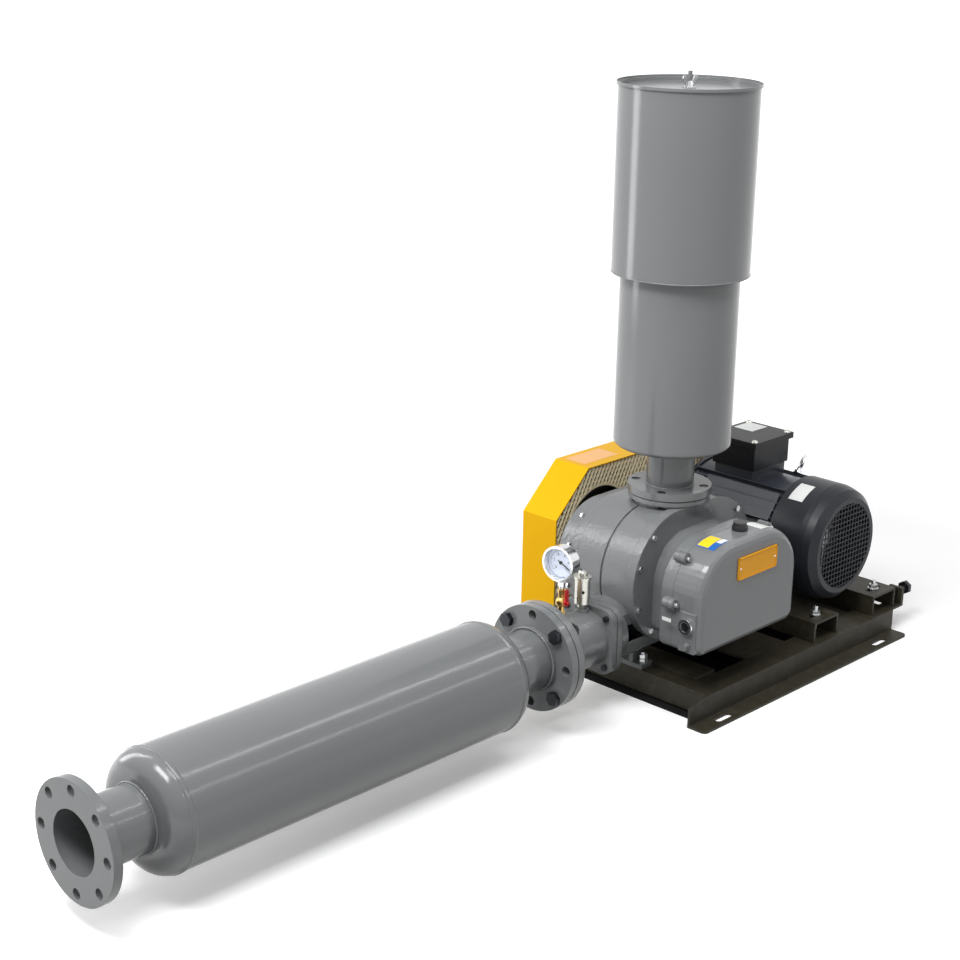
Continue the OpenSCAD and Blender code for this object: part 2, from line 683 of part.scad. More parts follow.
module flange_bolts() color("#28282c") at_blower()
{
    for (a = [45 : 90 : 359]) translate([0, 0, pipe_z]) rotate([a, 0, 0]) translate([0, 0, flange_pcd / 2])
    {
        rod_x(9.5, silencer_x - flange_t - 12, tee_end_x + flange_t + 22);
        translate([tee_end_x + flange_t + 0.2, 0, 0]) rotate([0, 90, 0]) cylinder(d = 34, h = 14, $fn = 6);
        translate([silencer_x - flange_t - 12.2, 0, 0]) rotate([0, 90, 0]) cylinder(d = 34, h = 12, $fn = 6);
    }
    square_bolt_places()
    {
        rod_x(5.5, tee_x - square_t - 4, nozzle_x + square_t - 2);
        translate([tee_x - square_t - 6.2, 0, 0]) rotate([0, 90, 0]) cylinder(d = 16, h = 6, $fn = 6);
    }
    intake_bolt_places()
    {
        translate([0, 0, intake_z - 31]) cylinder(d = 13.4, h = 25);
        translate([0, 0, intake_z - 10.7]) cylinder(d = 21, h = 9);
    }
}
body_x1 = silencer_x - neck_len;
body_x0 = silencer_end_x + open_neck;
open_corner = 45;
far_corner = 34;
// half section drawn with x along the axis and y as radius; c0 and c1 are the corner radii of its ends
module silencer_profile(r, x0, x1, c0, c1)
{
    translate([x0 + c0, 0]) square([x1 - x0 - c0 - c1, r]);
    translate([x0, 0]) square([c0 + 1, r - c0]);
    translate([x0 + c0, r - c0]) circle(r = c0);
    translate([x1 - c1 - 1, 0]) square([c1 + 1, r - c1]);
    translate([x1 - c1, r - c1]) circle(r = c1);
}
module revolve_x() rotate([0, 90, 0]) rotate_extrude() rotate(90) mirror([0, 1]) children();
module discharge_silencer() color(grey) at_blower() difference()
{
    translate([0, 0, pipe_z])
    {
        difference()
        {
            union()
            {
                revolve_x() silencer_profile(silencer_r, body_x0, body_x1, open_corner, far_corner);
                rod_x(pipe_r, silencer_end_x, silencer_x);
                rod_x(flange_r, silencer_end_x, silencer_end_x + flange_t);
                rod_x(flange_r, silencer_x - flange_t, silencer_x);
                rod_x(pipe_r + 6, silencer_end_x, silencer_end_x + flange_t + 8);
                rod_x(pipe_r + 6, silencer_x - flange_t - 8, silencer_x);
            }
            revolve_x() silencer_profile(silencer_r - sheet_t, body_x0 + sheet_t, body_x1 - sheet_t,
                open_corner - sheet_t, far_corner - sheet_t);
        }
    }
    translate([0, 0, pipe_z]) rod_x(pipe_r - pipe_wall, silencer_end_x - 1, silencer_x + 1);
    flange_holes(silencer_end_x, silencer_end_x + flange_t);
    flange_holes(silencer_x - flange_t, silencer_x);
}
module silencer_core() color(steel) at_blower() translate([0, 0, pipe_z]) difference()
{
    rod_x(pipe_r + 2, body_x0 + sheet_t + 0.5, body_x1 - sheet_t - 0.5);
    rod_x(pipe_r, body_x0, body_x1);
    for (x = [body_x0 + 60 : 105 : body_x1 - 50]) for (a = [0 : 45 : 359]) translate([x, 0, 0])
        rotate([a, 0, 0]) translate([0, 0, pipe_r - 20]) cylinder(r = 8, h = 40);
}

// Gauge on its cock
gauge_z = 385;
gauge_r = 42;
module at_gauge() translate([cock_x, 0, gauge_z]) rotate([0, 0, 7]) children();
module gauge_case() color(steel) at_blower() at_gauge()
{
    difference()
    {
        rod_x(gauge_r - 3, -16, 14);
        rod_x(gauge_r - 6, -18, 12);
    }
    difference()
    {
        rod_x(gauge_r, -20, -13);
        rod_x(gauge_r - 5, -21, -12);
    }
    translate([0, 0, -gauge_r - 22]) cylinder(r = 6, h = 28);
    translate([0, 0, -gauge_r - 16]) cylinder(r = 9, h = 10, $fn = 6);
}
module gauge_dial() color("#dfe3f0") at_blower() at_gauge() rod_x(gauge_r - 6.4, -4, -2);
module gauge_glass() color("#e8f0ff") at_blower() at_gauge() rod_x(gauge_r - 6.3, -16, -14);
module gauge_needle() color("#101010") at_blower() at_gauge()
{
    rod_x(4, -7.5, -4.4);
    rotate([118, 0, 0]) translate([-6.6, -1.1, -9]) cube([1.2, 2.2, 38]);
}
module gauge_cock() color(brass) at_blower() translate([cock_x, 0, 0])
{
    cock_z = gauge_z - gauge_r - 26;
    z0 = pipe_z + pipe_r + 8.3;
    difference()
    {
        union()
        {
            translate([0, 0, z0]) cylinder(r = 9, h = 12, $fn = 6);
            translate([0, 0, z0 + 10]) cylinder(r = 7, h = gauge_z - gauge_r - 22.3 - z0 - 10);
            translate([0, 0, (z0 + cock_z) / 2 + 3]) sphere(r = 13, $fn = 32);
            translate([0, 0, cock_z - 8]) cylinder(r = 9, h = 11, $fn = 6);
        }
        translate([0, 0, z0 - 1]) cylinder(r = 3, h = 120);
        translate([0, 0, (z0 + cock_z) / 2 + 3]) rod_y(4.06, -30, 0);
    }
}
cock_pivot_z = (pipe_z + pipe_r + 8.3 + gauge_z - gauge_r - 26) / 2 + 3;
module cock_lever() color("#c01010") at_blower() translate([cock_x, 0, cock_pivot_z])
{
    rod_y(4, -22, -4.5);
    translate([0, -16, 0]) rod_y(8, -2, 2);
    translate([-5, -18, -2]) cube([10, 4, 34]);
}

// Relief valve with its test lever
valve_x = boss_x;
valve_z = pipe_z + pipe_r + 6.3;
relief_bore_r = 4.05;
relief_body_z = 73;
relief_pivot_z = 88;
module relief_valve() color("#d0cfc0") at_blower() translate([valve_x, 0, valve_z]) difference()
{
    union()
    {
        cylinder(r = 11, h = 14, $fn = 6);
        translate([0, 0, 13]) cylinder(r = 18, h = relief_body_z - 13);
        translate([0, 0, relief_body_z]) cylinder(r = 20, h = 5);
        for (s = [-1, 1]) translate([-4, s * 9 - 2, relief_body_z + 4])
            cube([8, 4, relief_pivot_z - relief_body_z]);
    }
    translate([0, 0, -1]) cylinder(r = 7, h = 20);
    translate([0, 0, 16]) cylinder(r = 14, h = relief_body_z - 22);
    translate([0, 0, relief_body_z - 10]) cylinder(r = relief_bore_r, h = 40);
    for (a = [45 : 90 : 359]) rotate([0, 0, a]) translate([0, 0, 44]) rotate([0, 90, 0])
        cylinder(r = 4, h = 30);
    translate([0, 0, relief_pivot_z]) rod_y(2.03, -20, 20);
}
module relief_spindle() color(steel) at_blower() translate([valve_x, 0, valve_z])
{
    translate([0, 0, 17]) cylinder(r = 11, h = 6);
    translate([0, 0, 22]) cylinder(r = relief_bore_r - 0.05, h = relief_pivot_z - 12 - 22);
}
module relief_lever() color(steel) at_blower() translate([valve_x, 0, valve_z + relief_pivot_z])
{
    rod_y(2, -12, 12);
    rod_y(5, -6, 6);
    rotate([0, -52, 0]) translate([-2, -5, 0]) cube([4, 10, 42]);
}

// Belt drive
module pulley_section(r)
{
    w = pulley_w / 2;
    difference()
    {
        translate([r - 26, -w]) square([26, 2 * w]);
        for (i = [0 : belts - 1]) translate([r, (i - (belts - 1) / 2) * belt_pitch])
            polygon([[-15, -6.6], [1, -8.8], [1, 8.8], [-15, 6.6]]);
    }
    translate([shaft_r, -w * 0.7]) square([22, 1.4 * w]);
}
module pulley(r, bore, y)
{
    difference()
    {
        union()
        {
            translate([0, y, 0]) rotate([-90, 0, 0]) rotate_extrude() difference()
            {
                pulley_section(r);
                translate([-1, -100]) square([bore + 1.02, 200]);
            }
            ring_y(r - 24, bore + 18, y - 7, y + 7);
            ring_y(bore + 20, bore + 0.02, y - pulley_w * 0.35, y + pulley_w * 0.35);
        }
        if (r > 110) for (a = [0 : 60 : 359]) rotate([0, a, 0]) translate([(r - 24 + bore + 18) / 2, 0, 0])
            rod_y(15, y - 20, y + 20);
    }
}
module blower_pulley() color("#404448") at_blower() at_shaft(1) pulley(blower_pulley_r, shaft_r, pulley_y);
module motor_pulley() color("#404448") at_motor() pulley(motor_pulley_r, motor_shaft_r, belt_y);

// Belt loop as two arcs joined by their common tangents
belt_dx = motor_dx - shaft_x;
belt_dz = motor_z - shaft_z;
belt_span = norm([belt_dx, belt_dz]);
belt_lean = atan2(belt_dz, belt_dx);
module belt_loop(r1, r2)
{
    a = acos((r1 - r2) / belt_span);
    circle(r = r1, $fn = 96);
    rotate(belt_lean) translate([belt_span, 0]) circle(r = r2, $fn = 96);
    rotate(belt_lean) polygon([polar(r1, a), polar(r1, -a), [belt_span, 0] + polar(r2, -a),
        [belt_span, 0] + polar(r2, a)]);
}
module v_belts() color("#181818") at_blower() at_shaft(1) for (i = [0 : belts - 1])
    translate([0, pulley_y + (i - (belts - 1) / 2) * belt_pitch, 0]) extrude_y(-belt_w2, belt_w2) difference()
    {
        belt_loop(blower_pulley_r + 1, motor_pulley_r + 1);
        belt_loop(blower_pulley_r - 12, motor_pulley_r - 12);
    }

// Belt guard: a sheet box open to the front, with a mesh panel behind
guard_x0 = -347;
guard_x1 = 428;
guard_z0 = 110;
guard_z1 = 472;
guard_left_z = 361;
guard_right_z = 311;
guard_slope_x = -232;
guard_bend_x = 85;
function guard_path(d) = [[guard_x0 + d, guard_z0 + d], [guard_x0 + d, guard_left_z - d * 0.4],
    [guard_slope_x + d * 0.4, guard_z1 - d], [guard_bend_x - d * 0.2, guard_z1 - d],
    [guard_x1 - d, guard_right_z - d * 0.6], [guard_x1 - d, guard_z0 + d]];
module belt_guard() color(yellow)
{
    difference()
    {
        extrude_y(guard_front_y, guard_back_y) polygon(guard_path(0));
        extrude_y(guard_front_y - 1, guard_back_y - guard_t) polygon(guard_path(guard_t));
    }
    for (x = [-300, 360])
    {
        translate([x, guard_front_y + 20, base_t]) cube([40, 6, guard_z0 - base_t + 1]);
        translate([x, base_web_w / 2 + 6, base_t + eps])
            cube([40, guard_front_y + 26 - base_web_w / 2 - 6, 6]);
    }
}
mesh_hole_x = blower_x + 35;
mesh_hole_r = 120;
motor_hole_r = 72;
module guard_mesh() color("#d8b860") extrude_y(guard_front_y + air, guard_front_y + 1.8)
    difference()
    {
        polygon(guard_path(guard_t + 0.5));
        translate([mesh_hole_x, shaft_z]) circle(r = mesh_hole_r);
        translate([motor_x, motor_z]) circle(r = motor_hole_r);
        intersection()
        {
            for (x = [guard_x0 : 24 : guard_x1]) for (z = [guard_z0 : 34 : guard_z1])
                translate([x + 4, z + 4]) square([16, 26]);
            polygon(guard_path(14));
        }
    }

// Motor and its slide rails
module channel_y(w, h, y0, y1, t) extrude_y(y0, y1) difference()
{
    translate([-w / 2, 0]) square([w, h]);
    translate([-w / 2 + t, -1]) square([w - 2 * t, h - t + 1]);
}
module motor_rails() color(black) difference()
{
    for (s = [-1, 1]) translate([rail_mid_x + s * rail_dx, 0, base_h + air])
        channel_y(rail_w, rail_h - air, -rail_half, rail_half, 6);
    rail_bolt_places() translate([0, 0, rail_top - 10]) linear_extrude(14)
        slot2d(2 * tension_travel + 16, 13);
    at_motor() motor_foot_places() translate([0, 0, rail_top - motor_z - 10]) cylinder(d = 13, h = 20);
}
foot_dx = 127;
foot_dy = 210;
motor_foot_y = -13;
module motor_foot_places() for (x = [-foot_dx, foot_dx]) for (y = [motor_foot_y, motor_foot_y + foot_dy])
    translate([x, y, 0]) children();
side_pad_turn = 141;
module motor_frame() color(charcoal) at_motor() difference()
{
    union()
    {
        rod_y(motor_r - 14, cowl_back_y, frame_back_y);
        for (a = [-64 : 8 : 244]) if (abs(a - 90) > 26) rotate([0, -a, 0])
            translate([motor_r - 18, cowl_back_y + 12, -1.5])
            cube([18, frame_back_y - cowl_back_y - 16, 3]);
        motor_foot_places() translate([-26, -30, rail_top - motor_z + air]) cube([52, 60, 14]);
        rotate([0, -side_pad_turn, 0]) translate([motor_r - 30, cowl_back_y + 16, -38]) cube([29, 226, 76]);
        for (s = [-1, 1]) for (y = [motor_foot_y + 18, motor_foot_y + foot_dy - 32])
            translate([s > 0 ? 92 : -118, y, rail_top - motor_z])
            cube([26, 14, 90]);
        translate([-70, box_y0 + 14, motor_r - 40]) cube([140, 118, 44]);
    }
    rod_y(motor_r - 26, cowl_back_y - 1, frame_back_y + 1);
    motor_foot_places() translate([0, 0, rail_top - motor_z - 1]) cylinder(d = 14, h = 16);
}
module motor_foot_bolts() color(steel) at_motor() motor_foot_places()
    translate([0, 0, rail_top - motor_z - 16])
{
    translate([0, 0, 0]) cylinder(d = 12, h = 46);
    translate([0, 0, 30.3]) nut(12);
}
module stator() color("#705030") at_motor() ring_y(motor_r - 26.3, 82, 0, 190);
module motor_end_bells() color(charcoal) at_motor()
{
    difference()
    {
        union()
        {
            rod_y(motor_r - 10, frame_back_y + air, frame_back_y + 12);
            translate([0, frame_back_y + 11.5, 0]) rotate([-90, 0, 0])
                cylinder(r1 = motor_r - 12, r2 = 78, h = 12);
            rod_y(52, frame_back_y + 23, bell_back_y);
        }
        rod_y(motor_r - 26, frame_back_y - 1, frame_back_y + 8);
        rod_y(motor_shaft_r + 1, frame_back_y - 1, bell_back_y + 1);
    }
    difference()
    {
        union()
        {
            rod_y(motor_r - 16, cowl_back_y - 16, cowl_back_y - air);
            rod_y(motor_r - 2 - air, cowl_back_y - 8, cowl_back_y - air);
        }
        rod_y(motor_shaft_r + 1, cowl_back_y - 30, cowl_back_y + 1);
    }
}
module motor_rotor() color(steel) at_motor()
{
    rod_y(81, 5, 185);
    rod_y(motor_shaft_r, -122, motor_shaft_end);
}
module cooling_fan() color("#303236") at_motor()
{
    ring_y(30, motor_shaft_r + 0.02, -118, -88);
    ring_y(108, 28, -92, -88);
    for (a = [0 : 45 : 359]) rotate([0, a, 0]) translate([32, -120, -1.5]) cube([74, 30, 3]);
}
grille_r = 110;
cowl_len = cowl_back_y - cowl_front_y + 10;
grille_pitch = 13;
module fan_cowl() color(charcoal) at_motor()
{
    translate([0, cowl_front_y, 0]) rotate([-90, 0, 0]) rotate_extrude() difference()
    {
        union()
        {
            square([123, 3]);
            polygon([[grille_r, 0], [123, 0], [140, 16], [motor_r - 3, 34], [motor_r, 49],
                [motor_r, cowl_len], [motor_r - 2, cowl_len], [motor_r - 2, 50], [motor_r - 5, 36],
                [138, 18], [122, 3], [grille_r, 3]]);
        }
        translate([-1, -1]) square([grille_r + 1, 6]);
    }
    extrude_y(cowl_front_y, cowl_front_y + 2.4) intersection()
    {
        circle(r = grille_r + 1);
        union()
        {
            for (i = [-8 : 8]) translate([i * grille_pitch - 1.2, -grille_r]) square([2.4, 2 * grille_r]);
            for (i = [-8 : 8]) translate([-grille_r, i * grille_pitch - 1.2]) square([2 * grille_r, 2.4]);
        }
    }
}
box_y0 = 49;
gland_x = 74.3;
gland_y = box_y0 + 40;
gland_z = motor_r + 24;
module terminal_box() color(charcoal) at_motor() difference()
{
    translate([-74, box_y0 + 8, motor_r + 4.3]) cube([148, 130, 62]);
    translate([-67, box_y0 + 15, motor_r + 12]) cube([134, 116, 62]);
}
module terminal_lid() color(charcoal) at_motor() difference()
{
    translate([-82, box_y0, motor_r + 66.6]) cube([164, 146, 15]);
    translate([-74, box_y0 + 8, motor_r + 66]) cube([148, 130, 6]);
}
// Lifting eye and the gland of the motor cable
module motor_fittings() color(steel) at_motor()
{
    rotate([0, 35, 0]) translate([0, 30, motor_r + 0.3])
    {
        cylinder(r = 12, h = 6);
        translate([0, 0, 5]) cylinder(r = 7, h = 12);
        translate([0, 0, 32]) rotate([0, 0, 40]) rotate([90, 0, 0]) rotate_extrude() translate([16, 0])
            circle(r = 5, $fn = 24);
    }
    translate([gland_x, gland_y, gland_z])
    {
        rotate([0, 90, 0]) cylinder(d = 30, h = 8, $fn = 6);
        rod_x(12, 7, 16);
        rotate([0, 90, 0]) rotate_extrude() translate([11, 20]) circle(r = 4.5);
    }
}
module rail_clamp_bolts() color(steel) rail_bolt_places()
{
    translate([0, 0, base_h - base_t - 8]) cylinder(d = 12, h = rail_h + 38);
    translate([0, 0, base_h - base_t - 8.3]) cylinder(d = 23, h = 8, $fn = 6);
    translate([0, 0, rail_top + 0.3]) cylinder(d = 28, h = 3);
    translate([0, 0, rail_top + 3.4]) nut(12);
}
module tension_bolt() color(steel) translate([0, tension_y, tension_z])
{
    rod_x(8, rail_mid_x + rail_dx + rail_w / 2 + air, stop_x + 40);
    translate([stop_x + 40, 0, 0]) rotate([0, 90, 0]) cylinder(d = 36, h = 12, $fn = 6);
}

base_front_beam();
base_rear_beam();
base_cross_members();
blower_bed();
blower_foot_bolts();
rotor_casing();
front_side_plate();
rear_side_plate();
gear_case();
gear_cover();
casing_bolts();
drive_end_cover();
rotor_bearings();
shaft_seals();
sight_glass_ring();
sight_glass_lens();
drain_plug();
oil_filler_cap();
name_plate();
intake_silencer();
intake_hood();
filter_element();
intake_lid();
wing_nut();
gaskets();
discharge_tee();
flange_bolts();
discharge_silencer();
silencer_core();
gauge_case();
gauge_dial();
gauge_needle();
gauge_glass();
gauge_cock();
cock_lever();
relief_valve();
relief_spindle();
relief_lever();
belt_guard();
guard_mesh();
v_belts();
drive_rotor();
drive_gear();
blower_pulley();
idle_rotor();
idle_gear();
motor_rails();
motor_frame();
motor_end_bells();
stator();
motor_rotor();
cooling_fan();
fan_cowl();
terminal_box();
terminal_lid();
motor_fittings();
motor_pulley();
rail_clamp_bolts();
tension_bolt();
motor_foot_bolts();
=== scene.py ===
"""Looks of a belt driven roots blower package: paints, printed faces, meshes, welds and the stage."""
from math import cos, radians, sin, tau

import bpy
import numpy as np
from bpy.props import FloatProperty, FloatVectorProperty, PointerProperty
from bpy.types import Operator, Panel, PropertyGroup
from mathutils import Matrix, Vector


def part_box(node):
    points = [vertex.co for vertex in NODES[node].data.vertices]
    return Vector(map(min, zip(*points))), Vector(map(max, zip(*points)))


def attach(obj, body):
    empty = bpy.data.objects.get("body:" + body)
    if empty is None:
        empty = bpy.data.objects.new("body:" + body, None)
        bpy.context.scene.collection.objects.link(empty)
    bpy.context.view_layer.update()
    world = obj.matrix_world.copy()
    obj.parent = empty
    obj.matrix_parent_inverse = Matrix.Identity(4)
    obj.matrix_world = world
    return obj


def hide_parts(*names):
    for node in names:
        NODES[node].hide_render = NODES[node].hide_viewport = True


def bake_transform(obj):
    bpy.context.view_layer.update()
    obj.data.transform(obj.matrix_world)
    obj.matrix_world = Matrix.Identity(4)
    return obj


bl_info = {
    "name": "Roots Blower Looks",
    "version": (1, 0, 0),
    "blender": (4, 5, 0),
    "location": "View3D > Sidebar > Blower",
    "description": "Paints the blower package and adds its printed faces, meshes and welds",
    "category": "Object",
}

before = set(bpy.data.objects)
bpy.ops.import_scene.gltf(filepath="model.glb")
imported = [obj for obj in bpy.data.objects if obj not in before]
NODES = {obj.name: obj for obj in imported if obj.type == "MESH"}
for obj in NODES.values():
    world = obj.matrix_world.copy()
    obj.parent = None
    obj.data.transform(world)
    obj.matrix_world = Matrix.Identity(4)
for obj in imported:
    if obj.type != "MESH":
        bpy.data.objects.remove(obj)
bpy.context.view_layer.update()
MM = 0.001


def low(node):
    """Lowest corner of a CAD node as an array."""
    return np.array(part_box(node)[0])


def high(node):
    """Highest corner of a CAD node as an array."""
    return np.array(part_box(node)[1])


def middle(node):
    """Centre of a CAD node's box."""
    return (low(node) + high(node)) / 2


# Sizes and colours a user would change

class BlowerPaints(PropertyGroup):
    grey: FloatVectorProperty(name="Grey enamel", description="Paint of the blower, pipes and silencers",
        default=(0.165, 0.172, 0.176), subtype="COLOR", size=3)
    yellow: FloatVectorProperty(name="Guard yellow", description="Paint of the belt guard",
        default=(0.79, 0.425, 0.0015), subtype="COLOR", size=3)
    gold: FloatVectorProperty(name="Mesh gold", description="Paint of the guard's mesh panel",
        default=(0.92, 0.80, 0.54), subtype="COLOR", size=3)
    charcoal: FloatVectorProperty(name="Motor charcoal", description="Paint of the motor",
        default=(0.014, 0.016, 0.021), subtype="COLOR", size=3)
    base: FloatVectorProperty(name="Base black", description="Paint of the base and rails",
        default=(0.024, 0.021, 0.013), subtype="COLOR", size=3)
    orange: FloatVectorProperty(name="Plate orange", description="Plate on the gear cover",
        default=(1.0, 0.44, 0.006), subtype="COLOR", size=3)
    paint_gloss: FloatProperty(name="Enamel roughness", description="Roughness of the grey enamel",
        default=0.17, min=0.05, max=1.0)


class BlowerSizes(PropertyGroup):
    weld_r: FloatProperty(name="Weld bead", description="Half width of a weld bead",
        default=2.6 * MM, unit="LENGTH")
    mesh_pitch: FloatProperty(name="Mesh pitch", description="Distance between strands of the guard's mesh",
        default=14.0 * MM, unit="LENGTH")
    mesh_wire: FloatProperty(name="Mesh strand", description="Width of a strand of the guard's mesh",
        default=5.0 * MM, unit="LENGTH")


def paints():
    """The paint settings."""
    return bpy.context.scene.blower_paints


def sizes():
    """The size settings."""
    return bpy.context.scene.blower_sizes


# Camera, as solved from the round faces in the photograph
CAMERA_AT = (-3.5817, -2.5910, 1.8606)
CAMERA_AZIMUTH = -45.99
CAMERA_ELEVATION = 17.94
CAMERA_ROLL = 1.01
FOCAL_PIXELS = 1865.63
FRAME_PIXELS = 960
SENSOR = 36.0


def camera_turn(azimuth, elevation, roll):
    """Rotation whose columns are the camera's right, up and back, turned by the roll about the back axis."""
    a, e, r = radians(azimuth), radians(elevation), radians(roll)
    back = Vector((sin(a) * cos(e), -cos(a) * cos(e), sin(e)))
    right = Vector((cos(a), sin(a), 0.0))
    up = back.cross(right)
    turned_right = cos(r) * right + sin(r) * up
    turned_up = -sin(r) * right + cos(r) * up
    return Matrix((turned_right, turned_up, back)).transposed()


# Mesh helpers

def build_mesh(name, points, faces, material, body, smooth=True):
    """A mesh object from arrays of points and quads or triangles, riding on a body if one is named."""
    mesh = bpy.data.meshes.new(name)
    mesh.from_pydata(points.reshape(-1, 3).tolist(), [], faces.tolist())
    mesh.polygons.foreach_set("use_smooth", np.full(len(mesh.polygons), smooth))
    mesh.materials.append(material)
    mesh.update()
    piece = bpy.data.objects.new(name, mesh)
    bpy.context.scene.collection.objects.link(piece)
    if body:
        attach(piece, body)
    return piece


def grid_faces(nu, nv, wrap_u, wrap_v):
    """Quads of an nu by nv grid of points, joined end to start along u and v where asked."""
    u = np.arange(nu if wrap_u else nu - 1)
    v = np.arange(nv if wrap_v else nv - 1)
    U, V = np.meshgrid(u, v, indexing="ij")
    U2, V2 = (U + 1) % nu, (V + 1) % nv
    return np.stack([U * nv + V, U2 * nv + V, U2 * nv + V2, U * nv + V2], axis=-1).reshape(-1, 4)


def axis_frame(axis):
    """Three columns: the axis itself and two directions square to it, right-handed."""
    a = np.array(axis, float) / np.linalg.norm(axis)
    side = np.array([0.0, 0.0, 1.0]) if abs(a[2]) < 0.9 else np.array([1.0, 0.0, 0.0])
    u = np.cross(side, a)
    u /= np.linalg.norm(u)
    return a, u, np.cross(a, u)


def lathe(profile, at, axis, turns=96):
    """Points at + axis * h + r * (u cos t + v sin t) for each (h, r) of a closed profile, and their quads."""
    a, u, v = axis_frame(axis)
    t = np.linspace(0, tau, turns, endpoint=False)
    ring = np.cos(t)[:, None] * u + np.sin(t)[:, None] * v
    P = np.array(profile, float)
    pts = np.array(at) + P[None, :, 0, None] * a + P[None, :, 1, None] * ring[:, None, :]
    return pts, grid_faces(turns, len(P), True, True)


def torus(at, axis, ring_r, bead_r, turns=128, sides=12, flat=1.0, ripple=0.0, waves=90):
    """A bead round an axis: its section is an ellipse, and its radius ripples along the ring as welds do."""
    a, u, v = axis_frame(axis)
    t = np.linspace(0, tau, turns, endpoint=False)
    s = np.linspace(0, tau, sides, endpoint=False)
    T, S = np.meshgrid(t, s, indexing="ij")
    bead = bead_r * (1 + ripple * np.sin(waves * T))
    R = ring_r + bead * np.cos(S)
    H = bead * flat * np.sin(S)
    pts = (np.array(at) + H[..., None] * a + (R * np.cos(T))[..., None] * u + (R * np.sin(T))[..., None] * v)
    return pts, grid_faces(turns, sides, True, True)


def box_points(lo, hi):
    """The eight corners of a box and its six outward quads."""
    x, y, z = np.meshgrid([0, 1], [0, 1], [0, 1], indexing="ij")
    pts = np.stack([x, y, z], -1).reshape(-1, 3) * (np.array(hi) - np.array(lo)) + np.array(lo)
    quads = np.array([[0, 1, 3, 2], [4, 6, 7, 5], [0, 4, 5, 1], [2, 3, 7, 6], [0, 2, 6, 4], [1, 5, 7, 3]])
    return pts, quads


def joined(parts):
    """Several (points, quads) as one."""
    points, faces, start = [], [], 0
    for pts, quads in parts:
        pts = pts.reshape(-1, 3)
        points.append(pts)
        faces.append(quads + start)
        start += len(pts)
    return np.concatenate(points), np.concatenate(faces)


# Materials

def new_material(name):
    """An empty node material, its node tree, its shader and its object coordinates."""
    material = bpy.data.materials.new(name)
    material.use_nodes = True
    tree = material.node_tree
    tree.nodes.clear()
    out = tree.nodes.new("ShaderNodeOutputMaterial")
    shader = tree.nodes.new("ShaderNodeBsdfPrincipled")
    tree.links.new(shader.outputs["BSDF"], out.inputs["Surface"])
    where = tree.nodes.new("ShaderNodeTexCoord").outputs["Object"]
    return material, tree, shader, where


def noise(tree, where, scale, detail=3.0, rough=0.55):
    """A noise texture's value at object coordinates."""
    node = tree.nodes.new("ShaderNodeTexNoise")
    node.inputs["Scale"].default_value = scale
    node.inputs["Detail"].default_value = detail
    node.inputs["Roughness"].default_value = rough
    tree.links.new(where, node.inputs["Vector"])
    return node.outputs["Fac"]


def remap(tree, value, out_low, out_high, in_low=0.3, in_high=0.7):
    """A value stretched from one range to another, held at its ends."""
    node = tree.nodes.new("ShaderNodeMapRange")
    node.inputs["From Min"].default_value = in_low
    node.inputs["From Max"].default_value = in_high
    node.inputs["To Min"].default_value = out_low
    node.inputs["To Max"].default_value = out_high
    tree.links.new(value, node.inputs["Value"])
    return node.outputs["Result"]


def arithmetic(tree, operation, first, second):
    """One sum of two values, such as MULTIPLY or MAXIMUM."""
    node = tree.nodes.new("ShaderNodeMath")
    node.operation = operation
    tree.links.new(first, node.inputs[0])
    tree.links.new(second, node.inputs[1])
    return node.outputs["Value"]


def blend_colours(tree, factor, first, second):
    """Two colours, or sockets that hold them, mixed by a factor."""
    node = tree.nodes.new("ShaderNodeMix")
    node.data_type = "RGBA"
    # A Mix node keeps its colour sockets at inputs 6 and 7 and at output 2
    for target, colour in ((node.inputs[6], first), (node.inputs[7], second)):
        if isinstance(colour, bpy.types.NodeSocket):
            tree.links.new(colour, target)
        else:
            target.default_value = (*colour[:3], 1.0)
    tree.links.new(factor, node.inputs["Factor"])
    return node.outputs[2]


def varied(tree, factor, colour, vary):
    """A colour that changes by a share either way with a factor."""
    return blend_colours(tree, factor, colour * (1 - vary), np.minimum(colour * (1 + vary), 1))


def soft_normal(tree, radius, *bumps):
    """The surface normal with edges rounded by a radius, then each (height, strength, distance) bump."""
    bevel = tree.nodes.new("ShaderNodeBevel")
    bevel.samples = 4
    bevel.inputs["Radius"].default_value = radius
    normal = bevel.outputs["Normal"]
    for height, strength, distance in bumps:
        bump = tree.nodes.new("ShaderNodeBump")
        bump.inputs["Strength"].default_value = strength
        bump.inputs["Distance"].default_value = distance
        tree.links.new(height, bump.inputs["Height"])
        tree.links.new(normal, bump.inputs["Normal"])
        normal = bump.outputs["Normal"]
    return normal


DUST_COLOUR = (0.16, 0.14, 0.10)


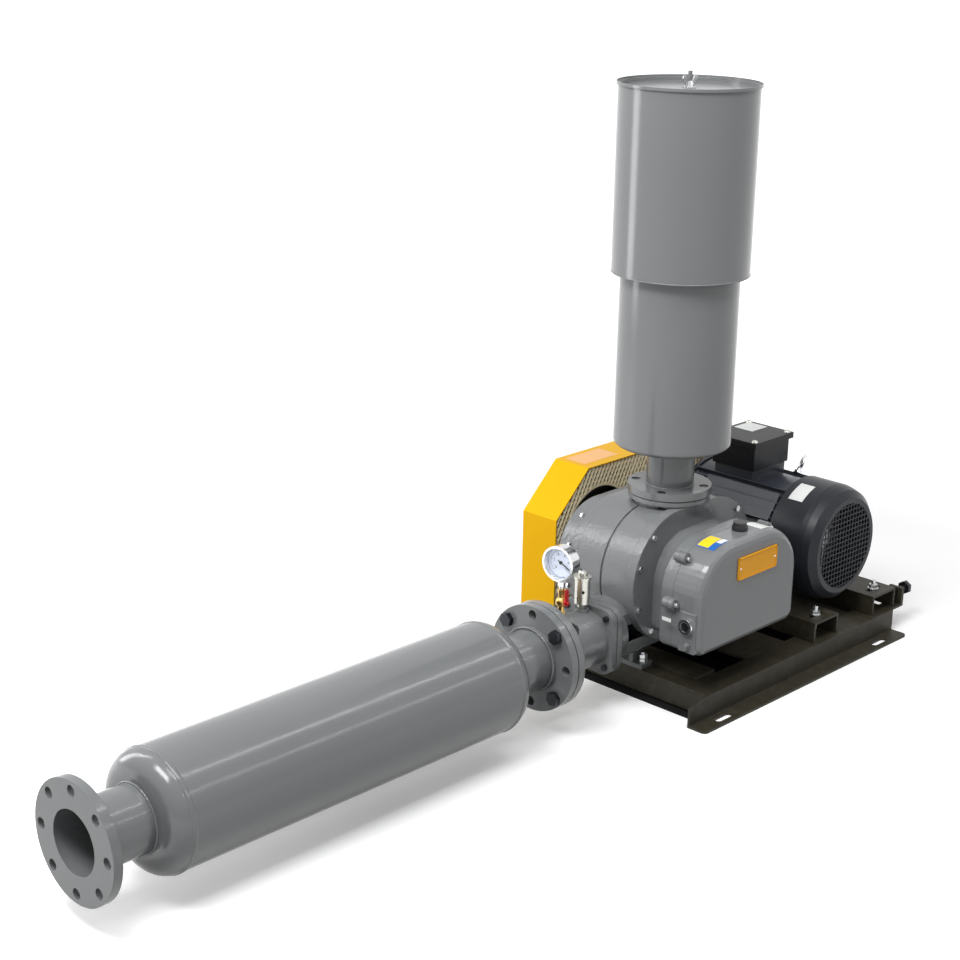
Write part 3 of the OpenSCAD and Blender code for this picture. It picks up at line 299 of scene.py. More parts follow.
def enamel(name, colour, roughness, cast=0.0, orange_peel=0.05, vary=0.03, edge=1.2 * MM, dust=0.0,
           shine=0.5):
    """Sprayed enamel: soft edges, orange peel, a lumpy cast skin where asked, and a slow change of tone."""
    material, tree, shader, where = new_material(name)
    shader.inputs["Specular IOR Level"].default_value = shine
    c = np.array(colour[:3])
    slow = noise(tree, where, 3.0, 2.0)
    tone = varied(tree, remap(tree, slow, 0.0, 1.0, 0.2, 0.8), c, vary)
    if dust:
        specks = remap(tree, noise(tree, where, 38.0, 6.0, 0.7), 0.0, dust, 0.45, 0.8)
        tone = blend_colours(tree, specks, tone, DUST_COLOUR)
    tree.links.new(tone, shader.inputs["Base Color"])
    patchy = noise(tree, where, 9.0, 2.0)
    tree.links.new(remap(tree, patchy, roughness - 0.02, roughness + 0.03, 0.2, 0.8),
                   shader.inputs["Roughness"])
    bumps = [(noise(tree, where, 160.0, 2.0), orange_peel, 0.5 * MM)]
    if cast:
        bumps.append((noise(tree, where, 90.0, 4.0, 0.6), cast, 2.0 * MM))
    tree.links.new(soft_normal(tree, edge, *bumps), shader.inputs["Normal"])
    return material


def metal(name, colour, roughness, vary=0.08, edge=0.6 * MM, scratch=0.08, grain=(1.0, 1.0, 14.0)):
    """Machined or plated metal with fine drawn marks along one direction and a slow change of shine."""
    material, tree, shader, where = new_material(name)
    shader.inputs["Metallic"].default_value = 1.0
    c = np.array(colour[:3])
    stretch = tree.nodes.new("ShaderNodeMapping")
    stretch.inputs["Scale"].default_value = grain
    tree.links.new(where, stretch.inputs["Vector"])
    marks = noise(tree, stretch.outputs["Vector"], 240.0, 4.0, 0.7)
    slow = noise(tree, where, 45.0, 4.0)
    tone = varied(tree, remap(tree, slow, 0.0, 1.0), c, vary)
    tree.links.new(tone, shader.inputs["Base Color"])
    tree.links.new(remap(tree, slow, max(roughness - 0.06, 0.02), roughness + 0.1),
                   shader.inputs["Roughness"])
    tree.links.new(soft_normal(tree, edge, (marks, scratch, 0.1 * MM)), shader.inputs["Normal"])
    return material


def moulded(name, colour, roughness, edge=0.8 * MM, grain=0.1):
    """Moulded plastic or rubber with a fine grain."""
    material, tree, shader, where = new_material(name)
    c = np.array(colour[:3])
    slow = noise(tree, where, 30.0, 3.0)
    tone = varied(tree, remap(tree, slow, 0.0, 1.0), c, 0.15)
    tree.links.new(tone, shader.inputs["Base Color"])
    tree.links.new(remap(tree, slow, roughness - 0.05, roughness + 0.05), shader.inputs["Roughness"])
    pores = noise(tree, where, 600.0)
    tree.links.new(soft_normal(tree, edge, (pores, grain, 0.2 * MM)), shader.inputs["Normal"])
    return material


def clear_glass(name, tint, roughness=0.02):
    """Thin clear glass: mostly see-through, with the gloss of its face."""
    material, tree, shader, where = new_material(name)
    shader.inputs["Base Color"].default_value = (*tint, 1.0)
    shader.inputs["Transmission Weight"].default_value = 1.0
    shader.inputs["IOR"].default_value = 1.15
    smear = noise(tree, where, 60.0, 3.0)
    tree.links.new(remap(tree, smear, roughness, roughness + 0.04), shader.inputs["Roughness"])
    return material


MATERIALS = {}


def make_materials():
    """Every finish of the package, by name."""
    p = paints()
    casting = np.array(p.grey) * 1.04
    motor = np.array(p.charcoal)
    gloss = p.paint_gloss
    MATERIALS.update(
        sheet_grey=enamel("sheet_grey", p.grey, gloss),
        cast_grey=enamel("cast_grey", casting, gloss - 0.02, cast=0.55, edge=3.5 * MM),
        cover_grey=enamel("cover_grey", casting, gloss + 0.02, cast=0.20, edge=3.0 * MM),
        guard_yellow=enamel("guard_yellow", p.yellow, 0.42, shine=0.12),
        mesh_gold=enamel("mesh_gold", p.gold, 0.45, vary=0.08, edge=0.3 * MM),
        motor_charcoal=enamel("motor_charcoal", motor, 0.36, cast=0.05, vary=0.12, edge=2.5 * MM,
                              shine=0.28),
        # Painted highlight: the motor frame's charcoal is the motor's one paint lightened 2.2 times and made
        # shinier, a lit copy
        fin_charcoal=enamel("fin_charcoal", motor * 2.2, 0.30, cast=0.05, vary=0.12, shine=0.5),
        # Painted shade: the terminal box's charcoal is the motor's one paint darkened to half, a shaded copy
        box_charcoal=enamel("box_charcoal", motor * 0.5, 0.34, cast=0.03, vary=0.12, shine=0.2),
        base_black=enamel("base_black", p.base, 0.5, vary=0.2, edge=2.0 * MM, dust=0.2, shine=0.3),
        plate_orange=enamel("plate_orange", p.orange, 0.34, orange_peel=0.03, shine=0.2),
        bright_steel=metal("bright_steel", (0.62, 0.63, 0.64), 0.28),
        chrome=metal("chrome", (0.78, 0.79, 0.81), 0.09, scratch=0.02),
        dark_steel=metal("dark_steel", (0.05, 0.052, 0.058), 0.38),
        pale_steel=metal("pale_steel", (0.60, 0.60, 0.55), 0.3),
        brass=metal("brass", (0.72, 0.47, 0.15), 0.26),
        lever_red=enamel("lever_red", (0.58, 0.008, 0.008), 0.3, orange_peel=0.03),
        black_rubber=moulded("black_rubber", (0.018, 0.018, 0.019), 0.62),
        black_plastic=moulded("black_plastic", (0.016, 0.016, 0.018), 0.36),
        dial_white=enamel("dial_white", (0.78, 0.81, 0.92), 0.5, orange_peel=0.0, vary=0.01),
        print_black=enamel("print_black", (0.012, 0.012, 0.014), 0.5, orange_peel=0.0, vary=0.01),
        label_white=enamel("label_white", (0.78, 0.79, 0.78), 0.36, orange_peel=0.02, vary=0.02),
        label_yellow=enamel("label_yellow", (0.86, 0.62, 0.02), 0.36, orange_peel=0.02, vary=0.02),
        label_peach=enamel("label_peach", (0.86, 0.45, 0.16), 0.4, orange_peel=0.02, vary=0.02),
        label_blue=enamel("label_blue", (0.02, 0.13, 0.45), 0.36, orange_peel=0.02, vary=0.02),
        filter_felt=moulded("filter_felt", (0.55, 0.47, 0.3), 0.85, grain=0.6),
        copper_wire=metal("copper_wire", (0.45, 0.19, 0.08), 0.42),
        gauge_glass=clear_glass("gauge_glass", (0.96, 0.98, 1.0)),
        dark_oil_glass=moulded("dark_oil_glass", (0.012, 0.014, 0.014), 0.08, grain=0.0),
    )


FINISH = {
    "sheet_grey": ["intake_silencer", "intake_hood", "intake_lid", "discharge_silencer"],
    "cast_grey": ["rotor_casing", "front_side_plate", "rear_side_plate", "gear_case", "drive_end_cover",
                  "discharge_tee", "drain_plug"],
    "cover_grey": ["gear_cover"],
    "guard_yellow": ["belt_guard"],
    "mesh_gold": ["guard_mesh"],
    "motor_charcoal": ["motor_end_bells", "fan_cowl"],
    # The motor frame takes the lightened copy of the charcoal, a painted highlight
    "fin_charcoal": ["motor_frame"],
    # The terminal box and lid take the darkened copy of the charcoal, a painted shade
    "box_charcoal": ["terminal_box", "terminal_lid"],
    "base_black": ["base_front_beam", "base_rear_beam", "base_cross_members", "blower_bed", "motor_rails"],
    "plate_orange": ["name_plate"],
    "bright_steel": ["blower_foot_bolts", "casing_bolts", "rotor_bearings", "wing_nut", "silencer_core",
                     "drive_rotor", "drive_gear", "idle_rotor", "idle_gear", "motor_rotor",
                     "motor_foot_bolts", "rail_clamp_bolts", "relief_spindle", "cooling_fan"],
    "chrome": ["sight_glass_ring", "gauge_case", "relief_lever", "motor_fittings"],
    "dark_steel": ["flange_bolts", "tension_bolt", "blower_pulley", "motor_pulley"],
    "pale_steel": ["relief_valve"],
    "brass": ["gauge_cock"],
    "lever_red": ["cock_lever"],
    "black_rubber": ["shaft_seals", "gaskets", "v_belts"],
    "black_plastic": ["oil_filler_cap", "gauge_needle"],
    "dial_white": ["gauge_dial"],
    "filter_felt": ["filter_element"],
    "copper_wire": ["stator"],
    "gauge_glass": ["gauge_glass"],
    "dark_oil_glass": ["sight_glass_lens"],
}


class BLOWER_OT_paint_nodes(Operator):
    """Give every CAD node its finish"""
    bl_idname = "blower.paint_nodes"
    bl_label = "Paint the Nodes"

    def execute(self, context):
        make_materials()
        painted = set()
        for finish, names in FINISH.items():
            for name in names:
                mesh = NODES[name].data
                mesh.materials.clear()
                mesh.materials.append(MATERIALS[finish])
                mesh.polygons.foreach_set("material_index", np.zeros(len(mesh.polygons), dtype=np.int32))
                painted.add(name)
        bare = set(NODES) - painted
        if bare:
            raise RuntimeError(f"no finish for {sorted(bare)}")
        return {"FINISHED"}


# Pipework and silencers

FLANGE_COLLAR = 28 * MM
COLLAR_R = 75.9 * MM
PIPE_R = 69.9 * MM
NECK_R = 57.15 * MM
SHELL_R = 127 * MM
OPEN_NECK, FAR_NECK = 135 * MM, 142 * MM
OPEN_CORNER, FAR_CORNER = 45 * MM, 34 * MM
HOOD_R = 160 * MM
DRUM_RISE = 115.5 * MM
HOOD_EDGE_R = 1.8 * MM


def weld(name, at, axis, ring_r, flat=1.0):
    """One painted weld bead round a pipe."""
    pts, quads = torus(at, axis, ring_r, sizes().weld_r, flat=flat, ripple=0.08)
    build_mesh(name, pts, quads, MATERIALS["sheet_grey"], "root")


class BLOWER_OT_welds(Operator):
    """Lay the weld beads of the silencers and the bead round the hood's rim"""
    bl_idname = "blower.welds"
    bl_label = "Lay the Welds"

    def execute(self, context):
        hood = middle("intake_hood")
        rim = (hood[0], hood[1], low("intake_hood")[2] + 1.2 * MM)
        pts, quads = torus(rim, (0, 0, 1), HOOD_R - 0.6 * MM, HOOD_EDGE_R)
        bead = build_mesh("hood_edge_bead", pts, quads, MATERIALS["sheet_grey"], "root")
        lo, hi = low("discharge_silencer"), high("discharge_silencer")
        y, z = (lo[1] + hi[1]) / 2, (lo[2] + hi[2]) / 2
        for name, x, r, flat in (
                ("weld_open_flange", lo[0] + FLANGE_COLLAR, COLLAR_R - 2 * MM, 1.0),
                ("weld_open_head", lo[0] + OPEN_NECK - 1 * MM, PIPE_R + 1 * MM, 1.0),
                ("seam_open_head", lo[0] + OPEN_NECK + OPEN_CORNER, SHELL_R - 1 * MM, 2.4),
                ("seam_far_head", hi[0] - FAR_NECK - FAR_CORNER, SHELL_R - 1 * MM, 2.4),
                ("weld_far_head", hi[0] - FAR_NECK + 1 * MM, PIPE_R + 1 * MM, 1.0),
                ("weld_far_flange", hi[0] - FLANGE_COLLAR, COLLAR_R - 2 * MM, 1.0)):
            weld(name, (x, y, z), (1, 0, 0), r, flat=flat)
        axis_x, axis_y = middle("intake_silencer")[:2]
        foot = low("intake_silencer")[2]
        weld("weld_intake_flange", (axis_x, axis_y, foot + 18 * MM), (0, 0, 1), NECK_R + 0.5 * MM)
        weld("weld_drum_neck", (axis_x, axis_y, foot + DRUM_RISE), (0, 0, 1), NECK_R + 0.5 * MM)
        return {"FINISHED"}


# Gauge

GAUGE_TURN = radians(7)
GAUGE_FACE_R = 35.6 * MM
DIAL_HALF = 1 * MM
PRINT_LIFT = 0.15 * MM
# Scale: the angle of its first mark, its sweep, its marks and how many there are to a figure; then its rim and
# the ring of its figures, as shares of the face's radius
SCALE_START, SCALE_SWEEP = radians(-135), radians(270)
SCALE_MARKS, MARKS_TO_FIGURE = 50, 10
SCALE_RIM, FIGURE_RING = 0.81, 0.55


def gauge_place(across, up, out):
    """A point on the dial: across to the viewer's right, up, and out from the dial's face."""
    centre = middle("gauge_dial")
    face = np.array([-cos(GAUGE_TURN), -sin(GAUGE_TURN), 0.0])
    right = np.array([sin(GAUGE_TURN), -cos(GAUGE_TURN), 0.0])
    lift = DIAL_HALF + PRINT_LIFT
    return (centre + np.multiply.outer(across, right) + np.multiply.outer(up, [0.0, 0.0, 1.0])
            + np.multiply.outer(out + lift, face))


def arc_band(inner, outer, start, end, steps=60, lift=0.0):
    """A flat band on the dial between two radii, from one angle to another, clockwise from the top."""
    t = np.linspace(start, end, steps)
    r = np.array([inner, outer])
    T, R = np.meshgrid(t, r, indexing="ij")
    pts = gauge_place(R * np.sin(T), R * np.cos(T), np.full(T.shape, lift))
    return pts, grid_faces(steps, 2, False, False)


class BLOWER_OT_gauge_face(Operator):
    """Print the gauge's scale"""
    bl_idname = "blower.gauge_face"
    bl_label = "Print the Gauge Face"

    def execute(self, context):
        rim = GAUGE_FACE_R * SCALE_RIM
        ticks = [arc_band(GAUGE_FACE_R * 0.80, rim, SCALE_START, SCALE_START + SCALE_SWEEP)]
        for i in range(SCALE_MARKS + 1):
            angle = SCALE_START + SCALE_SWEEP * i / SCALE_MARKS
            long_mark = i % MARKS_TO_FIGURE == 0
            inner = 0.68 if long_mark else (0.74 if i % 5 == 0 else 0.77)
            half = radians(0.9 if long_mark else 0.45)
            ticks.append(arc_band(GAUGE_FACE_R * inner, rim, angle - half, angle + half, 2))
        pts, quads = joined(ticks)
        scale = build_mesh("gauge_scale", pts, quads, MATERIALS["print_black"], "root", smooth=False)
        figures = SCALE_MARKS // MARKS_TO_FIGURE
        ring = GAUGE_FACE_R * FIGURE_RING
        for i in range(figures + 1):
            angle = SCALE_START + SCALE_SWEEP * i / figures
            self.number(str(i * 2), ring * sin(angle), ring * cos(angle), i)
        return {"FINISHED"}

    def number(self, text, across, up, index):
        """One figure of the scale, as a flat mesh on the dial."""
        curve = bpy.data.curves.new("figure", "FONT")
        curve.body = text
        curve.size = 9 * MM
        curve.align_x = "CENTER"
        curve.align_y = "CENTER"
        writer = bpy.data.objects.new("figure_source", curve)
        bpy.context.scene.collection.objects.link(writer)
        bpy.context.view_layer.update()
        mesh = bpy.data.meshes.new_from_object(writer)
        bpy.data.objects.remove(writer)
        flat = np.empty(len(mesh.vertices) * 3)
        mesh.vertices.foreach_get("co", flat)
        flat = flat.reshape(-1, 3)
        placed = gauge_place(flat[:, 0] + across, flat[:, 1] + up, np.zeros(len(flat)))
        mesh.vertices.foreach_set("co", placed.ravel())
        mesh.materials.clear()
        mesh.materials.append(MATERIALS["print_black"])
        mesh.update()
        piece = bpy.data.objects.new(f"gauge_figure_{index}", mesh)
        bpy.context.scene.collection.objects.link(piece)
        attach(piece, "root")


# Labels

def plate(name, corner, along, up, size, material, body="root"):
    """A thin plate from a corner, its width along one direction and its height up another, standing out."""
    across = np.array([along, up, np.cross(along, up)], float)
    share = np.array([[0, 0, 0], [1, 0, 0], [1, 1, 0], [0, 1, 0], [0, 0, 1], [1, 0, 1], [1, 1, 1], [0, 1, 1]])
    pts = np.array(corner) + (share * (*size, LABEL_T)) @ across
    quads = np.array([[0, 3, 2, 1], [4, 5, 6, 7], [0, 1, 5, 4],
                      [1, 2, 6, 5], [2, 3, 7, 6], [3, 0, 4, 7]])
    build_mesh(name, pts, quads, MATERIALS[material], body, smooth=False)


# The guard's mesh panel, as x and z: its outline, and its holes round the blower's shaft and the motor's
MOTOR_AXIS = (235 * MM, 274 * MM)
GUARD_OUTLINE = np.array([(-343.5, 113.5), (-343.5, 359.0), (-230.5, 468.5), (84.0, 468.5),
                          (424.5, 308.5), (424.5, 113.5)]) * MM
GUARD_HOLES = (((-185 * MM, 296 * MM), 120 * MM), (MOTOR_AXIS, 72 * MM))
STRAND_TWIST, STRAND_T = 3.0 * MM, 0.9 * MM
MESH_TALL = 1.9


def chord_spans(normal, direction, offset):
    """Stretches of the line normal . p = offset inside the guard's outline and outside its round holes."""
    side = GUARD_OUTLINE @ normal - offset
    after = np.roll(side, -1)
    cut = (side > 0) != (after > 0)
    if cut.sum() != 2:
        return []
    part = (side / (side - after))[cut][:, None]
    hits = GUARD_OUTLINE[cut] * (1 - part) + np.roll(GUARD_OUTLINE, -1, axis=0)[cut] * part
    spans = [tuple(sorted(hits @ direction))]
    for centre, r in GUARD_HOLES:
        near = np.dot(centre, direction)
        reach2 = r * r - (np.dot(centre, normal) - offset) ** 2
        if reach2 <= 0:
            continue
        reach = np.sqrt(reach2)
        spans = [piece for a, b in spans for piece in ((a, min(b, near - reach)), (max(a, near + reach), b))
                 if piece[1] - piece[0] > 1 * MM]
    return spans


class BLOWER_OT_guard_mesh(Operator):
    """Weave the guard's mesh panel"""
    bl_idname = "blower.guard_mesh"
    bl_label = "Weave the Guard Mesh"

    def execute(self, context):
        lo, hi = low("guard_mesh"), high("guard_mesh")
        wide, tall, half = sizes().mesh_pitch, sizes().mesh_pitch * MESH_TALL, sizes().mesh_wire / 2
        y0, y1 = lo[1] + 0.1 * MM, hi[1] - 0.1 * MM
        parts = []
        for lean, back in ((1, 0.0), (-1, 0.5)):
            direction = np.array([wide, lean * tall]) / np.hypot(wide, tall)
            normal = np.array([direction[1], -direction[0]])
            reach = GUARD_OUTLINE @ normal
            pitch = wide * tall / np.hypot(wide, tall)
            for offset in np.arange(reach.min() + pitch / 2, reach.max(), pitch):
                for a, b in chord_spans(normal, direction, offset):
                    ends = normal * offset + np.outer([a, b], direction)
                    lift = normal * half * np.sign(normal[1])
                    parts.append(self.strand(ends, lift, y0 + back * 0.4 * MM))
        for centre, r in GUARD_HOLES:
            deep, inner, outer = y1 - y0, r - 1 * MM, r + 5 * MM
            parts.append(lathe([(0, inner), (0, outer), (deep, outer), (deep, inner)],
                               (centre[0], y0, centre[1]), (0, 1, 0), 128))
        pts, quads = joined(parts)
        woven = build_mesh("guard_mesh_panel", pts, quads, MATERIALS["mesh_gold"], "root", smooth=False)
        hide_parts("guard_mesh")
        return {"FINISHED"}

    def strand(self, ends, side, front):
        """A thin bar between two points of the panel, twisted to face up: y = front + twist at its top."""
        a, b = ends
        rim = np.array([a - side, b - side, b + side, a + side])
        y = front + np.array([0.0, 0.0, 1.0, 1.0]) * STRAND_TWIST
        pts = np.concatenate([np.c_[rim[:, 0], y + depth, rim[:, 1]] for depth in (0.0, STRAND_T)])
        quads = np.array([[0, 1, 2, 3], [7, 6, 5, 4], [0, 4, 5, 1],
                          [1, 5, 6, 2], [2, 6, 7, 3], [3, 7, 4, 0]])
        return pts, quads


# Gear case's two round shoulders, as x and z, their radius, and the thickness of a label on a flat face
LEFT_SHOULDER, RIGHT_SHOULDER = (-287 * MM, 297 * MM), (-153 * MM, 297 * MM)
SHOULDER_R = 120 * MM
COWL_R = 149 * MM
LABEL_T, LABEL_LIFT = 0.3 * MM, 0.02 * MM


def arc_patch(name, centre, r, angles, span, material, body="root", lift=0.35 * MM):
    """A thin label on a cylinder along Y: (x, z) = centre + r (cos t, sin t), for t in degrees."""
    t = np.radians(np.linspace(*angles, 25))
    rims = []
    for radius in (r + 0.05 * MM, r + lift):
        for y in span:
            rims.append(np.c_[centre[0] + radius * np.cos(t), np.full(len(t), y),
                              centre[1] + radius * np.sin(t)])
    inner0, inner1, outer0, outer1 = rims
    pts = np.stack([outer0, outer1, inner1, inner0], axis=1)
    faces = grid_faces(len(t), 4, False, True)
    build_mesh(name, pts, faces, MATERIALS[material], body, smooth=False)


class BLOWER_OT_labels(Operator):
    """Stick on the blank labels"""
    bl_idname = "blower.labels"
    bl_label = "Stick the Labels"

    def execute(self, context):
        raised = SHOULDER_R + LABEL_T
        arc_patch("cover_label_base", LEFT_SHOULDER, SHOULDER_R, (84, 114), (-200 * MM, -148 * MM),
                  "label_blue")
        arc_patch("cover_label_field", LEFT_SHOULDER, raised, (87, 112.5), (-181 * MM, -150 * MM),
                  "label_yellow")
        arc_patch("cover_label_strip", LEFT_SHOULDER, raised, (86, 99), (-197 * MM, -183 * MM),
                  "label_white")
        arc_patch("cover_label_top", RIGHT_SHOULDER, SHOULDER_R, (70, 92), (-201 * MM, -152 * MM),
                  "label_white")
        arc_patch("cowl_label", MOTOR_AXIS, COWL_R, (104, 128), (-108 * MM, -66 * MM), "label_white",
                  "motor_carriage")
        lid = high("terminal_lid")[2] + LABEL_LIFT
        plate("lid_label", (240 * MM, 124 * MM, lid), (1, 0, 0), (0, 1, 0), (66 * MM, 60 * MM),
              "label_white", "motor_carriage")
        top = high("belt_guard")[2] + LABEL_LIFT
        plate("guard_label", (-214 * MM, 300 * MM, top), (1, 0, 0), (0, 1, 0), (128 * MM, 66 * MM),
              "label_peach")
        left = low("gear_case")[0] - LABEL_LIFT
        plate("level_label", (left, -132 * MM, 244 * MM), (0, -1, 0), (0, 0, 1), (26 * MM, 9 * MM),
              "label_white")
        return {"FINISHED"}


class BLOWER_OT_plate_rim(Operator):
    """Raise the rim and the two rivets of the orange plate"""
    bl_idname = "blower.plate_rim"
    bl_label = "Raise the Plate Rim"

    def execute(self, context):
        lo, hi = low("name_plate"), high("name_plate")
        face, rim, rise, sunk = lo[1], 3 * MM, 0.9 * MM, 0.2 * MM
        bars = (((lo[0], lo[2]), (hi[0], lo[2] + rim)), ((lo[0], hi[2] - rim), (hi[0], hi[2])),
                ((lo[0], lo[2]), (lo[0] + rim, hi[2])), ((hi[0] - rim, lo[2]), (hi[0], hi[2])))
        pts, quads = joined([box_points((a[0], face - rise, a[1]), (b[0], face + sunk, b[1]))
                             for a, b in bars])
        border = build_mesh("plate_rim", pts, quads, MATERIALS["plate_orange"], "root", smooth=False)
        mid = (lo[2] + hi[2]) / 2
        for side, x in (("left", lo[0] + 8 * MM), ("right", hi[0] - 8 * MM)):
            pts, quads = dome((x, face, mid), (0, -1, 0), 2.6 * MM, 1.4 * MM)
            rivet = build_mesh(f"plate_rivet_{side}", pts, quads, MATERIALS["bright_steel"], "root")
        return {"FINISHED"}


class BLOWER_OT_lid_screws(Operator):
    """Put the screws in the terminal box's lid"""
    bl_idname = "blower.lid_screws"
    bl_label = "Put in the Lid Screws"

    def execute(self, context):
        lo, hi = low("terminal_lid"), high("terminal_lid")
        inset = 12 * MM
        spots = [(x, y) for x in (lo[0] + inset, hi[0] - inset) for y in (lo[1] + inset, hi[1] - inset)]
        for i, (x, y) in enumerate(spots):
            pts, quads = dome((x, y, hi[2]), (0, 0, 1), 8.5 * MM, 6 * MM)
            head = build_mesh(f"lid_screw_{i}", pts, quads, MATERIALS["pale_steel"], "motor_carriage")
        return {"FINISHED"}


# Belts

BELT_COUNT = 3
BELT_PITCH = 19 * MM
# Section of a belt: height over the pulley's rim and place across, inwards side first
BELT_SECTION = np.array([(-12, -5.0), (-12, 5.0), (-1.0, 5.9), (0.3, 5.8), (1.0, 5.1), (1.0, -5.1),
                         (0.3, -5.8), (-1.0, -5.9)]) * MM


def belt_loop(first, second, arc_steps=56, run_steps=24):
    """Closed path round two pulleys, each given as x, z and radius: points c + r n and their normals n.

    The tangents touch both circles where n leans by acos((r1 - r2) / span) from the line of centres."""
    c1, r1, c2, r2 = first[:2], first[2], second[:2], second[2]
    span = np.hypot(*(c2 - c1))
    lean = np.arctan2(*(c2 - c1)[::-1])
    touch = np.arccos((r1 - r2) / span)
    far = lean + np.linspace(-touch, touch, arc_steps)
    near = lean + np.linspace(touch, tau - touch, arc_steps)
    share = np.linspace(0, 1, run_steps + 2)[1:-1]
    rows = []
    for angles, centre, r, onward, onward_r in ((far, c2, r2, c1, r1), (near, c1, r1, c2, r2)):
        n = np.c_[np.cos(angles), np.sin(angles)]
        rows.append(np.c_[centre + r * n, n])
        leave, arrive = centre + r * n[-1], onward + onward_r * n[-1]
        rows.append(np.c_[leave + share[:, None] * (arrive - leave), np.tile(n[-1], (run_steps, 1))])
    loop = np.concatenate(rows)
    return loop[:, :2], loop[:, 2:]


class BLOWER_OT_belts(Operator):
    """Lay the belts round the two pulleys"""
    bl_idname = "blower.belts"
    bl_label = "Lay the Belts"

    def execute(self, context):
        pulleys = []
        for node in ("blower_pulley", "motor_pulley"):
            at = middle(node)
            pulleys.append(np.array([at[0], at[2], (high(node) - low(node))[0] / 2]))
        path, normal = belt_loop(*pulleys)
        middle_y = middle("v_belts")[1]
        parts = []
        for i in range(BELT_COUNT):
            y = middle_y + (i - (BELT_COUNT - 1) / 2) * BELT_PITCH
            at = path[:, None] + BELT_SECTION[None, :, :1] * normal[:, None]
            across = np.broadcast_to(y + BELT_SECTION[:, 1], at.shape[:2])
            pts = np.stack([at[..., 0], across, at[..., 1]], -1)
            parts.append((pts, grid_faces(len(path), len(BELT_SECTION), True, True)))
        pts, quads = joined(parts)
        belts = build_mesh("belt_set", pts, quads, MATERIALS["black_rubber"], None, smooth=False)
        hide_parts("v_belts")
        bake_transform(belts)
        return {"FINISHED"}


def dome(at, axis, r, rise):
    """A low round head: radius r (1 - h^2)^(1/2) at height rise h above its seat."""
    h = np.linspace(0, 0.999, 9)
    rim = np.c_[rise * h, r * np.sqrt(1 - h * h)]
    profile = np.concatenate([rim, [[rise, 0.02 * r], [-0.1 * MM, 0.02 * r], [-0.1 * MM, r]]])
    return lathe(profile, at, axis, 32)


# Stage

# World: its strength on the dark and on the bright side, and the way the bright side lies
WORLD_FILL = (0.02, 0.50)
BRIGHT_SIDE = (-0.62, 0.45, 0.64)
# Floor: its tone where it lights the object, where it is seen, and as the painted shade under the base; the
# glow that whitens it, from the first distance to the second; and how far in from the base's rim the painted
# shade starts
FLOOR_LIT, FLOOR_SEEN, FLOOR_PAINTED_SHADE = (0.30,) * 3, (0.93,) * 3, (0.012,) * 3
FLOOR_HALF = 30.0
VEIL, VEIL_REACH = (0.16, 1.0), (1.2, 4.5)
FLANGE_INSET = 40 * MM
# Lamps: name, place, target, width and height in metres, and watts; the tubes draw the silencer's two streaks
LAMPS = (
    ("key", (-3.0, -0.2, 3.9), (-0.6, 0.0, 0.4), (2.2, 1.2), 138.0),
    ("top", (-0.8, -1.0, 4.3), (-0.2, -0.1, 0.3), (2.0, 1.2), 40.0),
    ("tube_high", (0.6, -1.10, 2.96), (0.6, 0.03, 0.18), (3.8, 0.07), 15.0),
    ("tube_low", (0.6, -2.35, 2.01), (0.6, 0.03, 0.18), (3.8, 0.05), 8.5),
    ("glint", (-1.9, 1.7, 2.3), (-0.2, 0.0, 0.35), (0.22, 1.1), 9.0),
    ("rim", (-2.1, 2.4, 1.3), (-0.22, 0.03, 1.0), (0.7, 2.0), 26.0),
)


